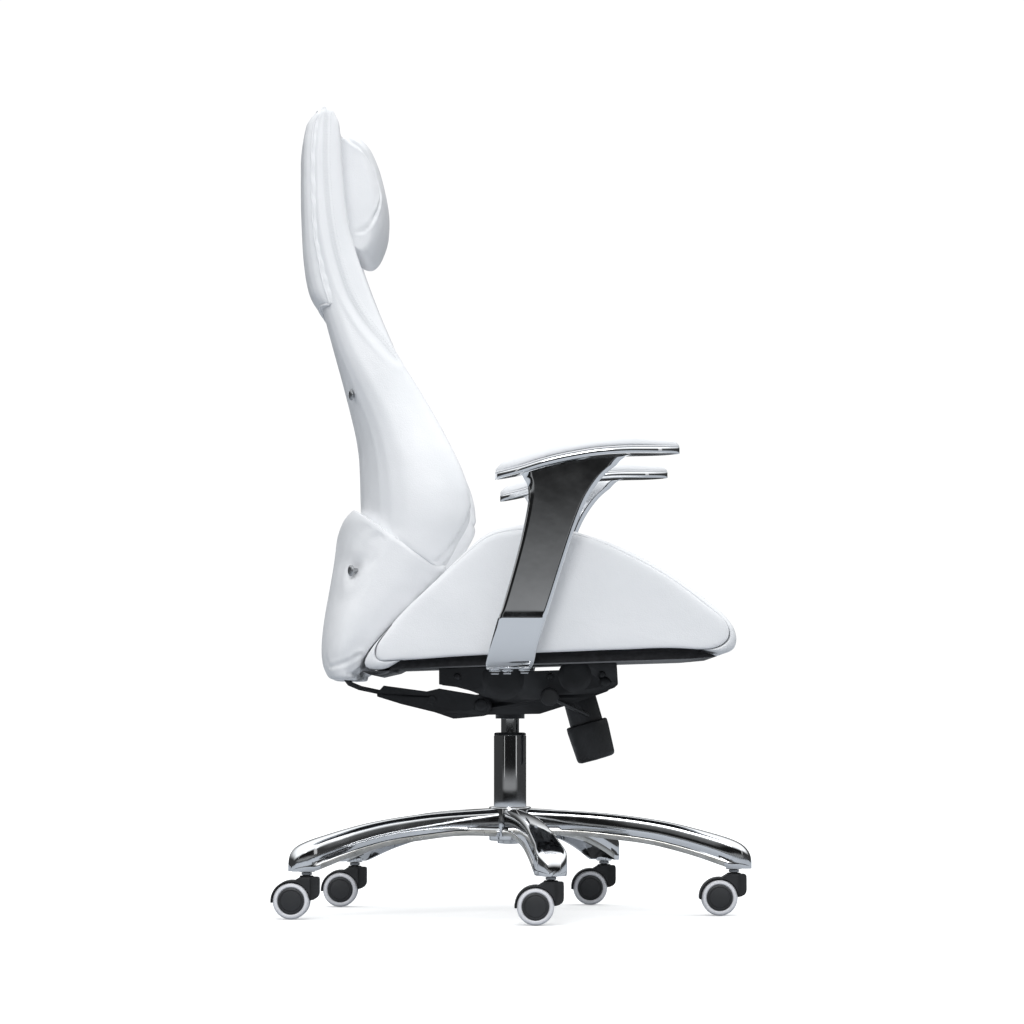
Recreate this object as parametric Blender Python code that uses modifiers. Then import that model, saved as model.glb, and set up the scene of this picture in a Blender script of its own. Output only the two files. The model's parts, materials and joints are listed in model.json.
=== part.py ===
"""Swivel office chair: a white upholstered high-back chair on a chromed five-star base.

Metres, +Z up. The chair faces -Y, so the sitter's right hand is at -X. The origin lies on the
floor, on the axis that the seat swivels about. Side profiles are lists of (y, z) points.
"""

import math

import bmesh
import bpy
from mathutils import Matrix, Vector

GAP = 0.0004  # clearance between pieces that touch

# Five-star base and castors
LEGS = 5
FIRST_LEG_ANGLE = math.radians(7.5)  # of the front leg, turned from -Y towards -X
CASTOR_CIRCLE_R = 0.3465
LEG_TIP_R = 0.3732
HUB_R = 0.0325
HUB_TOP = 0.165
HUB_BOTTOM = 0.112
LEG_BOSS_BOTTOM = 0.0705
STEM_R = 0.0055
STEM_BORE_R = 0.0059
WHEEL_SIDES = 20
WHEEL_FLAT_R = 0.0275  # from the axle to the flats of the tread
WHEEL_R = WHEEL_FLAT_R / math.cos(math.pi / WHEEL_SIDES)
WHEEL_W = 0.0175
WHEEL_INNER_X = 0.0068
AXLE_R = 0.0030
CASTOR_TRAIL = 0.0225
HOOD_R = 0.0308
HOOD_HALF_W = 0.0245

# Gas lift
TUBE_R = 0.025
TUBE_TOP = 0.275
CYLINDER_R = 0.014
CYLINDER_TOP = 0.3325
ROD_R = 0.005
VALVE_PIN_R = 0.004
VALVE_PIN_TOP = 0.339

# Tilt mechanism: pivots as (y, z)
REAR_PIVOT = (0.044, 0.321)
FRONT_PIVOT = (-0.146, 0.357)
PIVOT_PIN_R = 0.0055
HOUSING_HALF_W = 0.061
BRACKET_INNER_X = 0.0635
BRACKET_OUTER_X = 0.0675
PLATE_INNER_X = 0.0760
PLATE_OUTER_X = 0.0790
KNOB_LEAN = math.radians(15.8)  # the tension knob's axis leans forward, going down
KNOB_AXIS_TOP = (-0.109, 0.3265)
SHEET = 0.003  # thickness of the mechanism's pressed steel
LEVER_ROD_R = 0.0032
TILT_LEVER_PIVOT = (-0.0350, -0.119, 0.3065)
TILT_GRIP = (-0.061, 0.334)
HEIGHT_LEVER_Z = 0.3435
HEIGHT_LEVER_R = 0.0040

# Seat
SEAT_SLOPE = 0.031  # rise of the seat board per metre towards the front
BOARD_BOTTOM = 0.3815  # at y = 0
BOARD_TOP = 0.3988
BOARD_HALF_W = 0.255
SEAT_HALF_W = 0.268
SEAT_BOLSTER_INNER_X = 0.155  # where the side bolsters start to rise
SEAT_BOLSTER_SLOPE_W = 0.075
SEAT_EDGE_X = 0.250  # outside this line the cushion's edge is rounded off
SEAT_EDGE_INSET = 0.011
SEAT_NOSE_Z = 0.44  # above this height the middle is lower than the bolsters
SEAT_BASE_Z = 0.41
SEAT_SECTION_CENTRE = (-0.04, 0.45)
SEAT_SECTION_REACH = (0.26, 0.11)  # from that centre to the section's edge, along y and z

# Back
BACK_TOP = 1.2314
SEAM_REAR = (0.2226, 0.6085)  # the seam between the upper and the lower back, as two points
SEAM_FRONT = (0.098, 0.522)
BAR_HALF_W = 0.032
BAR_THICKNESS = 0.007
BACKBOARD_HALF_W = 0.13
BACKBOARD_THICKNESS = 0.010
SLOT_ROOM = 0.0014  # how much wider than the bar or board a slot in the cushion is
REAR_STEPS = 7
WIDEST_SHARE = 0.35  # of the back's depth, from its front to its widest line
HEAD_PANEL_GAP = 0.0010
PILLOW_BACK_OFFSET = 0.0025
PILLOW_HALF_W = 0.122
PILLOW_MIDDLE_Z = 1.1015
SCREW_CAP_R = 0.0085

# Armrests
ARM_X = 0.311
ARM_PLATE_THICKNESS = 0.008
ARM_PAD_HALF_W = 0.045
ARM_FRAME_THICKNESS = 0.009
ARM_FOOT_INNER_X = 0.196
ARM_FOOT_OUTER_X = 0.262
ARM_PAD_MIDDLE_Y = -0.1170
ARM_PAD_HALF_LENGTH = 0.1365
ARM_END_HALF_W = 0.006
ARM_BOLTS = ((0.2490, 0.0200), (0.2250, 0.0020), (0.2490, -0.0240))  # (x, y)


# ---------------------------------------------------------------- helpers

def clear_scene():
    for obj in list(bpy.data.objects):
        bpy.data.objects.remove(obj, do_unlink=True)


def new_collection(name, hidden=False):
    collection = bpy.data.collections.new(name)
    collection.hide_render = hidden
    bpy.context.scene.collection.children.link(collection)
    return collection


def principled(name, colour, roughness, metallic=0.0):
    material = bpy.data.materials.new(name)
    material.use_nodes = True
    shader = material.node_tree.nodes["Principled BSDF"]
    shader.inputs["Base Color"].default_value = (*colour, 1.0)
    shader.inputs["Roughness"].default_value = roughness
    shader.inputs["Metallic"].default_value = metallic
    return material


def interpolate(value, table):
    """Straight-line reading of a table of (key, result) pairs that is sorted by key."""
    if value <= table[0][0]:
        return table[0][1]
    for (low, first), (high, second) in zip(table, table[1:]):
        if value <= high:
            return first + (second - first) * (value - low) / (high - low)
    return table[-1][1]


def from_bmesh(name, bm, material=None):
    bmesh.ops.recalc_face_normals(bm, faces=bm.faces)
    mesh = bpy.data.meshes.new(name)
    bm.to_mesh(mesh)
    bm.free()
    mesh.shade_smooth()
    mesh.set_sharp_from_angle(angle=math.radians(35))
    obj = bpy.data.objects.new(name, mesh)
    if material:
        mesh.materials.append(material)
    PARTS.objects.link(obj)
    return obj


def box(name, low, high, material=None):
    bm = bmesh.new()
    bmesh.ops.create_cube(bm, size=1.0)
    size = Vector(high) - Vector(low)
    centre = (Vector(high) + Vector(low)) / 2
    bmesh.ops.scale(bm, vec=size, verts=bm.verts)
    bmesh.ops.translate(bm, vec=centre, verts=bm.verts)
    return from_bmesh(name, bm, material)


def rod(name, start, end, radius, material=None, end_radius=None, sides=20):
    """A straight cylinder or cone between two points."""
    start, end = Vector(start), Vector(end)
    turn = (end - start).to_track_quat("Z", "Y").to_matrix().to_4x4()
    bm = bmesh.new()
    bmesh.ops.create_cone(
        bm, cap_ends=True, segments=sides, radius1=radius,
        radius2=radius if end_radius is None else end_radius, depth=(end - start).length,
    )
    bmesh.ops.transform(bm, matrix=Matrix.Translation((start + end) / 2) @ turn, verts=bm.verts)
    return from_bmesh(name, bm, material)


def turned(name, profile, material, sides=24, phase=0.0):
    """A profile of (radius, height) points, listed top to bottom, turned about the local Z axis."""
    bm = bmesh.new()
    verts = [bm.verts.new((radius * math.cos(phase), radius * math.sin(phase), height))
             for radius, height in profile]
    for first, second in zip(verts, verts[1:]):
        bm.edges.new((first, second))
    mesh = bpy.data.meshes.new(name)
    bm.to_mesh(mesh)
    bm.free()
    mesh.materials.append(material)
    obj = bpy.data.objects.new(name, mesh)
    PARTS.objects.link(obj)
    screw = obj.modifiers.new("Turn", "SCREW")
    screw.steps = screw.render_steps = sides
    screw.use_merge_vertices = True
    screw.merge_threshold = 0.0001
    screw.use_smooth_shade = True
    return obj


def curve_to_mesh(curve_obj, name, material):
    """The curve's evaluated surface as a mesh object with welded caps."""
    bpy.context.view_layer.update()
    evaluated = curve_obj.evaluated_get(bpy.context.evaluated_depsgraph_get())
    mesh = bpy.data.meshes.new_from_object(evaluated)
    mesh.transform(curve_obj.matrix_world)
    bpy.data.objects.remove(curve_obj, do_unlink=True)
    bm = bmesh.new()
    bm.from_mesh(mesh)
    bpy.data.meshes.remove(mesh)
    bmesh.ops.remove_doubles(bm, verts=bm.verts, dist=1e-6)
    return from_bmesh(name, bm, material)


def side_plate(name, outline, x_low, x_high, material=None):
    """A flat outline of (y, z) points, extruded along X."""
    curve = bpy.data.curves.new(name + "_outline", "CURVE")
    curve.dimensions = "2D"
    curve.fill_mode = "BOTH"
    curve.extrude = (x_high - x_low) / 2
    spline = curve.splines.new("POLY")
    spline.points.add(len(outline) - 1)
    for point, (y, z) in zip(spline.points, outline):
        point.co = (y, z, 0, 1)
    spline.use_cyclic_u = True
    obj = bpy.data.objects.new(name + "_outline", curve)
    PARTS.objects.link(obj)
    axes = Matrix(((0, 0, 1, (x_low + x_high) / 2), (1, 0, 0, 0), (0, 1, 0, 0), (0, 0, 0, 1)))
    obj.matrix_world = axes
    return curve_to_mesh(obj, name, material)


def wire(name, points, radius, material, sides=2):
    """A round bar along points; sides is the bevel resolution."""
    curve = bpy.data.curves.new(name + "_path", "CURVE")
    curve.dimensions = "3D"
    curve.bevel_depth = radius
    curve.bevel_resolution = sides
    curve.use_fill_caps = True
    spline = curve.splines.new("POLY")
    spline.points.add(len(points) - 1)
    for point, position in zip(spline.points, points):
        point.co = (*position, 1)
    obj = bpy.data.objects.new(name + "_path", curve)
    PARTS.objects.link(obj)
    return curve_to_mesh(obj, name, material)


def loft(name, rings, material=None):
    """A solid through rings that have equally many points, closed by a flat cap at each end."""
    bm = bmesh.new()
    loops = [[bm.verts.new(point) for point in ring] for ring in rings]
    count = len(loops[0])
    for low, high in zip(loops, loops[1:]):
        for i in range(count):
            j = (i + 1) % count
            bm.faces.new((low[i], low[j], high[j], high[i]))
    bm.faces.new(loops[0][::-1])
    bm.faces.new(loops[-1])
    return from_bmesh(name, bm, material)


def combine(obj, operation, *others):
    """Adds or cuts other objects with Booleans, and keeps them as hidden helpers."""
    for other in others:
        modifier = obj.modifiers.new(operation.title(), "BOOLEAN")
        modifier.operation = operation
        modifier.object = other
        other.hide_render = True
        other.display_type = "WIRE"
        PARTS.objects.unlink(other)
        CUTTERS.objects.link(other)
    return obj


def add(obj, *others):
    return combine(obj, "UNION", *others)


def cut(obj, *others):
    return combine(obj, "DIFFERENCE", *others)


def strip_outline(path, thickness):
    """The outline of a flat bar that follows a (y, z) path at its centre."""
    sides = ([], [])
    for i, point in enumerate(path):
        before = Vector(path[max(i - 1, 0)])
        after = Vector(path[min(i + 1, len(path) - 1)])
        along = (after - before).normalized()
        across = Vector((-along.y, along.x)) * thickness / 2
        sides[0].append(tuple(Vector(point) + across))
        sides[1].append(tuple(Vector(point) - across))
    return sides[0] + sides[1][::-1]


def arc(centre, radius, start_deg, end_deg, steps):
    """Points on an arc in the (y, z) plane, from +y towards +z."""
    angles = [math.radians(start_deg + (end_deg - start_deg) * i / steps) for i in range(steps + 1)]
    return [(centre[0] + radius * math.cos(a), centre[1] + radius * math.sin(a)) for a in angles]


def joint_axis(name, position, parent=None):
    """An empty on a joint's axis. The pieces that the joint moves are its children."""
    empty = bpy.data.objects.new(name, None)
    empty.empty_display_size = 0.03
    empty.location = position
    PARTS.objects.link(empty)
    if parent:
        hold(empty, parent)
    return empty


def hold(obj, parent):
    obj.parent = parent
    bpy.context.view_layer.update()
    obj.matrix_parent_inverse = parent.matrix_world.inverted()


def move_with(parent, *objs):
    """Puts each piece's origin on the joint's axis, and makes it the joint's child."""
    bpy.context.view_layer.update()
    position = parent.matrix_world.translation.copy()
    for obj in objs:
        if obj.matrix_world == Matrix.Identity(4):
            obj.data.transform(Matrix.Translation(-position))
            obj.location = position
        hold(obj, parent)


# ---------------------------------------------------------------- base

LEG_TOP = [(0.02, 0.1630), (0.0527, 0.1612), (0.139, 0.1560), (0.231, 0.1445), (0.3085, 0.1265),
           (0.350, 0.1135), (0.3665, 0.1040), (LEG_TIP_R, 0.0960)]
LEG_UNDERSIDE = [(0.02, 0.1190), (0.087, 0.1215), (0.17, 0.1145), (0.216, 0.1085), (0.262, 0.0980),
                 (0.300, 0.0868), (0.327, 0.0775), (LEG_TIP_R, 0.0765)]
LEG_HALF_W = [(0.02, 0.0190), (0.10, 0.0180), (0.20, 0.0195), (0.30, 0.0230), (0.340, 0.0245),
              (0.357, 0.0225), (0.3675, 0.0165), (LEG_TIP_R, 0.0100)]
LEG_STATIONS = (0.020, 0.080, 0.150, 0.220, 0.280, 0.320, 0.342, 0.357, 0.3675, LEG_TIP_R)


def leg_direction(k):
    angle = FIRST_LEG_ANGLE + k * 2 * math.pi / LEGS
    return Vector((-math.sin(angle), -math.cos(angle), 0))


def leg_ring(direction, radius):
    """A leg's section: an arched top with bevelled shoulders above a narrow lower flange."""
    across = Vector((-direction.y, direction.x, 0))
    half_w = interpolate(radius, LEG_HALF_W)
    top = interpolate(radius, LEG_TOP)
    bottom = interpolate(radius, LEG_UNDERSIDE)
    depth = top - bottom
    half = [(0.38, top), (0.78, top - 0.16 * depth), (0.92, top - 0.42 * depth),
            (0.92, bottom + 0.20 * depth), (1.0, bottom)]
    shape = half + [(-w, z) for w, z in reversed(half)]
    return [direction * radius + across * (w * half_w) + Vector((0, 0, z)) for w, z in shape]


def leg_hollow(name, direction):
    """The hollow under a leg, open downwards between its side walls."""
    across = Vector((-direction.y, direction.x, 0))
    rings = []
    for radius in (0.045, 0.13, 0.21, 0.27, 0.318):
        half_w = interpolate(radius, LEG_HALF_W) * 0.92 - 0.0045
        top = interpolate(radius, LEG_TOP) - 0.0075
        bottom = interpolate(radius, LEG_UNDERSIDE) - 0.02
        ring = [(0.55, top), (1.0, top - 0.007), (1.0, bottom)]
        ring += [(-w, z) for w, z in reversed(ring)]
        rings.append([direction * radius + across * (w * half_w) + Vector((0, 0, z)) for w, z in ring])
    return loft(name, rings)


def make_star_base():
    base = rod("star_base", (0, 0, HUB_BOTTOM), (0, 0, HUB_TOP - 0.004), HUB_R, CHROME, sides=32)
    add(base, rod("hub_bevel", (0, 0, HUB_TOP - 0.0045), (0, 0, HUB_TOP), HUB_R, end_radius=HUB_R - 0.004,
                  sides=32))
    directions = [leg_direction(k) for k in range(LEGS)]
    legs = [loft(f"leg_{k + 1}", [leg_ring(d, r) for r in LEG_STATIONS]) for k, d in enumerate(directions)]
    add(base, *legs)
    cut(base, *[leg_hollow(f"leg_hollow_{k + 1}", d) for k, d in enumerate(directions)])
    for k, direction in enumerate(directions):
        stem = direction * CASTOR_CIRCLE_R
        boss_low = stem + Vector((0, 0, LEG_BOSS_BOTTOM))
        add(base, rod(f"boss_{k + 1}", boss_low, stem + Vector((0, 0, 0.085)), 0.0125, sides=14))
    for k, direction in enumerate(directions):
        stem = direction * CASTOR_CIRCLE_R
        low = stem + Vector((0, 0, LEG_BOSS_BOTTOM - 0.01))
        cut(base, rod(f"stem_bore_{k + 1}", low, stem + Vector((0, 0, 0.1005)), STEM_BORE_R, sides=12))
    taper = rod("hub_taper", (0, 0, HUB_BOTTOM - 0.01), (0, 0, HUB_TOP + 0.001), 0.0199,
                end_radius=TUBE_R + 0.0006, sides=32)
    return cut(base, taper)


def castor_stem(name, stem):
    """Pressed into the housing below, and free to turn in the leg above."""
    profile = [(0, 0.0995), (STEM_R, 0.0985), (STEM_R, 0.0700), (0.0070, 0.0698),
               (0.0070, 0.0640), (STEM_R, 0.0638), (STEM_R, 0.0480), (0, 0.0480)]
    obj = turned(name, profile, CHROME, sides=12)
    obj.location = (stem.x, stem.y, 0)
    return obj


def castor_housing(name, stem):
    """The hood over the twin wheels, the web between them and the axle that carries them."""
    axle_y = stem.y + CASTOR_TRAIL
    axle_z = WHEEL_FLAT_R
    nose = [(-0.0225, 0.0357), (-0.0335, 0.0345), (-0.0405, 0.0290), (-0.0415, 0.0130), (-0.0385, 0.0055),
            (-0.0300, 0.0010), (-0.0120, -0.0085), (0.0120, -0.0085)]
    outline = [(axle_y + y, axle_z + z) for y, z in arc((0, 0), HOOD_R, -4, 96, 7) + nose]
    housing = side_plate(name, outline, stem.x - HOOD_HALF_W, stem.x + HOOD_HALF_W, BLACK_PLASTIC)
    for side in (-1, 1):
        inner = stem.x + side * (WHEEL_INNER_X - 0.0008)
        outer = stem.x + side * (HOOD_HALF_W + 0.01)
        cut(housing, rod(f"{name}_wheel_room_{side}", (inner, axle_y, axle_z), (outer, axle_y, axle_z),
                         WHEEL_R + 0.0012, sides=WHEEL_SIDES))
    for side in (-1, 1):
        low, high = sorted((stem.x + side * 0.0165, stem.x + side * 0.04))
        cut(housing, box(f"{name}_nose_side_{side}", (low, axle_y - 0.06, axle_z - 0.02),
                         (high, axle_y - 0.0265, axle_z + 0.05)))
    cut(housing, rod(f"{name}_stem_hole", (stem.x, stem.y, 0.0475), (stem.x, stem.y, 0.08), STEM_R + GAP,
                     sides=16))
    axle_half = WHEEL_INNER_X + WHEEL_W - 0.004
    return add(housing, rod(f"{name}_axle", (stem.x - axle_half, axle_y, axle_z),
                            (stem.x + axle_half, axle_y, axle_z), AXLE_R, sides=12))


def castor_wheel(name, stem, side):
    """A wheel with a blind axle bore. Its local Z axis points outwards along the axle."""
    bore_r = AXLE_R + 0.0003
    width = WHEEL_W
    profile = [(0, width - 0.0005), (0.0240, width), (WHEEL_R, width - 0.0050), (WHEEL_R, 0.0035),
               (0.0250, 0.0), (bore_r, 0.0), (bore_r, width - 0.003), (0, width - 0.003)]
    wheel = turned(name, profile, TREAD, sides=WHEEL_SIDES, phase=math.pi / WHEEL_SIDES)
    wheel.rotation_euler = (0, math.radians(90 * side), 0)
    wheel.location = (stem.x + side * WHEEL_INNER_X, stem.y + CASTOR_TRAIL, WHEEL_FLAT_R)
    return wheel


def make_castors():
    for k in range(LEGS):
        stem = leg_direction(k) * CASTOR_CIRCLE_R
        name = f"castor_{k + 1}"
        swivel = joint_axis(f"{name}_swivel", (stem.x, stem.y, 0))
        move_with(swivel, castor_stem(f"{name}_stem", stem), castor_housing(f"{name}_housing", stem))
        for side, word in ((-1, "right"), (1, "left")):
            hold(castor_wheel(f"{name}_wheel_{word}", stem, side), swivel)


# ---------------------------------------------------------------- gas lift

def make_lift():
    """The outer tube and its guide stay in the base. The cylinder slides and turns with the seat."""
    tube_profile = [(0.0235, TUBE_TOP), (TUBE_R, TUBE_TOP - 0.001), (TUBE_R, 0.163), (0.0193, 0.1085),
                    (0.0185, 0.1070), (ROD_R + 0.0006, 0.1070), (ROD_R + 0.0006, 0.1115), (0.0165, 0.1115),
                    (0.0215, 0.1650), (0.0235, 0.1700)]
    turned("lift_tube", tube_profile + tube_profile[:1], CHROME, sides=24)
    inner = CYLINDER_R + 0.0005
    guide_profile = [(inner, 0.2778), (0.0240, 0.2778), (0.0246, 0.2770), (0.0246, TUBE_TOP + GAP),
                     (0.0231, TUBE_TOP + GAP), (0.0231, 0.2050), (inner, 0.2050)]
    turned("lift_guide", guide_profile + guide_profile[:1], BLACK_PLASTIC, sides=24)
    rod_profile = [(0, 0.2620), (ROD_R, 0.2620), (ROD_R, 0.1215), (0.0120, 0.1210), (0.0130, 0.1195),
                   (0.0130, 0.1120), (ROD_R, 0.1120), (ROD_R, 0.1085), (0, 0.1085)]
    lift_rod = turned("lift_rod", rod_profile, STEEL, sides=16)
    bore = ROD_R + 0.0006
    pin_bore = VALVE_PIN_R + GAP
    cylinder_profile = [(0, 0.3180), (pin_bore, 0.3180), (pin_bore, CYLINDER_TOP), (0.0125, CYLINDER_TOP),
                        (CYLINDER_R, 0.3000), (CYLINDER_R, 0.1500), (bore, 0.1500), (bore, 0.2900), (0, 0.2900)]
    cylinder = turned("lift_cylinder", cylinder_profile, CHROME, sides=24)
    pin_profile = [(0, VALVE_PIN_TOP), (VALVE_PIN_R, VALVE_PIN_TOP), (VALVE_PIN_R, 0.3245), (0, 0.3245)]
    valve_pin = turned("lift_valve_pin", pin_profile, STEEL, sides=16)
    return lift_rod, cylinder, valve_pin


# ---------------------------------------------------------------- tilt mechanism

def seat_plane(y, height):
    """Height of a plane of the seat that has the given height at y = 0."""
    return height - SEAT_SLOPE * y


def make_housing():
    """An open-topped steel tray with ears for both pivots and a conical socket for the lift."""
    outline = [(0.074, 0.3090), (0.066, 0.3060), (-0.046, 0.3080), (-0.084, 0.3200), (-0.125, 0.3335),
               (-0.150, 0.3425), (-0.1575, 0.3500), (-0.1575, 0.3640), (-0.150, 0.3680), (-0.128, 0.3640),
               (-0.080, 0.3455), (0.030, 0.3400), (0.056, 0.3370), (0.074, 0.3270)]
    housing = side_plate("mechanism_housing", outline, -HOUSING_HALF_W, HOUSING_HALF_W, BLACK_STEEL)
    inside = [(0.071, 0.3120), (0.065, 0.3092), (-0.045, 0.3112), (-0.084, 0.3232), (-0.126, 0.3368),
              (-0.148, 0.3460), (-0.1545, 0.3520), (-0.1545, 0.3900), (0.071, 0.3900)]
    cut(housing, side_plate("housing_hollow", inside, SHEET - HOUSING_HALF_W, HOUSING_HALF_W - SHEET))
    add(housing, rod("lift_socket", (0, 0, 0.3008), (0, 0, 0.3330), 0.0225, sides=28))
    cut(housing, rod("socket_bore", (0, 0, 0.2990), (0, 0, 0.3400), CYLINDER_R + 0.0005, sides=28,
                     end_radius=0.0128))
    cut(housing, knob_rod("stem_opening", 0.03, -0.05, 0.0262))
    for (y, z), name in ((REAR_PIVOT, "rear"), (FRONT_PIVOT, "front")):
        cut(housing, rod(f"housing_{name}_bore", (-0.09, y, z), (0.09, y, z), PIVOT_PIN_R + GAP))
    for side in (-1, 1):
        add(housing, rod(f"housing_rivet_{side}", (side * (HOUSING_HALF_W - 0.001), -0.031, 0.3300),
                         (side * (HOUSING_HALF_W + 0.0025), -0.031, 0.3300), 0.0080, sides=14))
    slot_low = (HOUSING_HALF_W - 0.01, -0.0060, HEIGHT_LEVER_Z - 0.0120)
    slot_high = (HOUSING_HALF_W + 0.01, 0.0060, HEIGHT_LEVER_Z + 0.02)
    return cut(housing, box("height_lever_slot", slot_low, slot_high))


def make_seat_plate():
    """An inverted channel over the housing: two raised pads carry the seat, bowl-shaped sides hang down."""
    top = [(0.108, BOARD_BOTTOM), (-0.029, BOARD_BOTTOM), (-0.034, BOARD_BOTTOM - 0.0085),
           (-0.113, BOARD_BOTTOM - 0.0085), (-0.118, BOARD_BOTTOM), (-0.164, BOARD_BOTTOM)]
    top = [(y, seat_plane(y, z) - GAP) for y, z in top]
    under = [(y, z - SHEET) for y, z in top[1:-1]]
    side = [(-0.166, 0.3530), (-0.1605, 0.3480), (-0.138, 0.3405), (-0.105, 0.3375), (-0.070, 0.3370),
            (-0.050, 0.3310), (-0.030, 0.3268), (-0.008, 0.3252), (0.014, 0.3268), (0.038, 0.3350),
            (0.062, 0.3440), (0.085, 0.3500), (0.108, 0.3530)]
    plate = side_plate("seat_plate", top + side, -PLATE_OUTER_X, PLATE_OUTER_X, BLACK_STEEL)
    hollow = [(0.112, top[0][1] - SHEET)] + under + [(-0.161, top[-1][1] - SHEET), (-0.161, 0.30), (0.112, 0.30)]
    cut(plate, side_plate("plate_hollow", hollow, -PLATE_INNER_X, PLATE_INNER_X))
    cut(plate, box("height_lever_notch", (0.06, -0.012, 0.30), (0.10, 0.012, 0.3690)))
    y, z = FRONT_PIVOT
    return cut(plate, rod("plate_front_bore", (-0.1, y, z), (0.1, y, z), PIVOT_PIN_R + GAP))


def make_bracket():
    """The fork that swings about the rear pivot and holds the back's steel bar."""
    outline = arc(REAR_PIVOT, 0.0165, 75, 265, 8)
    outline += [(0.086, 0.3006), (0.115, 0.3105), (0.166, 0.3230), (0.203, 0.3345), (0.2035, 0.3400),
                (0.193, 0.3515), (0.170, 0.3485), (0.127, 0.3425), (0.108, 0.3470), (0.090, 0.3440)]
    fork = side_plate("back_bracket", outline, -BRACKET_OUTER_X, BRACKET_OUTER_X, BLACK_STEEL)
    room = [(0.0, 0.28), (0.100, 0.28), (0.100, 0.36), (0.0, 0.36)]
    cut(fork, side_plate("fork_room", room, -BRACKET_INNER_X, BRACKET_INNER_X))
    trough = [(0.09, 0.3170), (0.115, 0.3225), (0.165, 0.3308), (0.21, 0.3388), (0.21, 0.38), (0.09, 0.38)]
    cut(fork, side_plate("bar_trough", trough, -0.046, 0.046))
    cut(fork, rod("fork_bore", (-0.1, *REAR_PIVOT), (0.1, *REAR_PIVOT), PIVOT_PIN_R + GAP))
    for side in (-1, 1):
        add(fork, rod(f"bar_bolt_{side}", (side * (BRACKET_OUTER_X - 0.002), 0.119, 0.3295),
                      (side * (BRACKET_OUTER_X + 0.0035), 0.119, 0.3295), 0.0065, sides=12))
    return fork


BAR_PATH = [(0.120, 0.3275), (0.165, 0.3350), (0.206, 0.3425), (0.232, 0.3480), (0.2475, 0.3545),
            (0.2555, 0.3650), (0.2570, 0.3800), (0.2530, 0.4200), (0.2440, 0.4700), (0.2340, 0.5300),
            (0.2260, 0.5900)]


def make_back_bar():
    return side_plate("back_bar", strip_outline(BAR_PATH, BAR_THICKNESS), -BAR_HALF_W, BAR_HALF_W, BLACK_STEEL)


def make_pivot_pin(name, pivot, half_length, cap_r):
    """A pin with a domed cap at each end."""
    y, z = pivot
    pin = rod(name, (-half_length, y, z), (half_length, y, z), PIVOT_PIN_R, STEEL)
    for side in (-1, 1):
        base = side * (half_length - 0.001)
        add(pin, rod(f"{name}_cap_{side}", (base, y, z), (side * (half_length + 0.003), y, z), cap_r,
                     end_radius=cap_r - 0.0015, sides=20))
    return pin


def knob_point(down):
    """A point on the tension knob's axis, at a distance down from the axis's top point."""
    y, z = KNOB_AXIS_TOP
    return Vector((0, y - down * math.sin(KNOB_LEAN), z - down * math.cos(KNOB_LEAN)))


def knob_rod(name, start, end, radius, material=None):
    return rod(name, knob_point(start), knob_point(end), radius, material, sides=24)


def on_knob_axis(obj):
    obj.matrix_world = Matrix.Translation(knob_point(0)) @ Matrix.Rotation(-KNOB_LEAN, 4, "X")
    return obj


def make_tension():
    """The spring cup, the spring in it and the knob whose bolt squeezes the spring."""
    inner = 0.0215
    cup_profile = [(inner, 0.006), (0.0255, 0.006), (0.0258, -0.0365), (0.0045, -0.0365), (0.0045, -0.0330),
                   (inner, -0.0330)]
    cup = on_knob_axis(turned("tension_cup", cup_profile + cup_profile[:1], BLACK_STEEL, sides=28))
    turns, steps = 5, 10
    count = turns * steps
    coil = [knob_point(0) + Matrix.Rotation(-KNOB_LEAN, 3, "X") @ Vector((
        0.0165 * math.cos(2 * math.pi * i / steps), 0.0165 * math.sin(2 * math.pi * i / steps),
        -0.0290 + 0.0330 * i / count)) for i in range(count + 1)]
    spring = wire("tension_spring", coil, 0.0022, STEEL, sides=0)
    knob_profile = [(0, 0.0020), (0.0038, 0.0020), (0.0038, -0.0372), (0.0285, -0.0372), (0.0320, -0.0400),
                    (0.0325, -0.0430), (0.0300, -0.0800), (0.0285, -0.0838), (0.0240, -0.0855), (0, -0.0862)]
    knob = on_knob_axis(turned("tension_knob", knob_profile, BLACK_PLASTIC, sides=28))
    return cup, spring, knob


def make_tilt_lever():
    """A bent rod from beside the spring cup out to a round grip on the sitter's right."""
    x, y, z = TILT_LEVER_PIVOT
    grip_y, grip_z = TILT_GRIP
    path = [(x + 0.0055, y, z), (x - 0.004, y, z), (x - 0.012, y + 0.006, z + 0.003),
            (-0.100, grip_y - 0.012, grip_z - 0.006), (-0.108, grip_y - 0.002, grip_z - 0.001),
            (-0.116, grip_y, grip_z), (-0.130, grip_y, grip_z)]
    lever = wire("tilt_lever", path, LEVER_ROD_R, BLACK_PLASTIC)
    profile = [(0, 0.062), (0.0115, 0.062), (0.0140, 0.0590), (0.0140, 0.0560), (0.0115, 0.0520),
               (0.0100, 0.0100), (0.0080, 0), (0, 0)]
    grip = turned("tilt_lever_grip", profile, BLACK_PLASTIC, sides=20)
    grip.rotation_euler = (0, math.radians(-90), 0)
    grip.location = (-0.118, grip_y, grip_z)
    return add(lever, grip)


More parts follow.
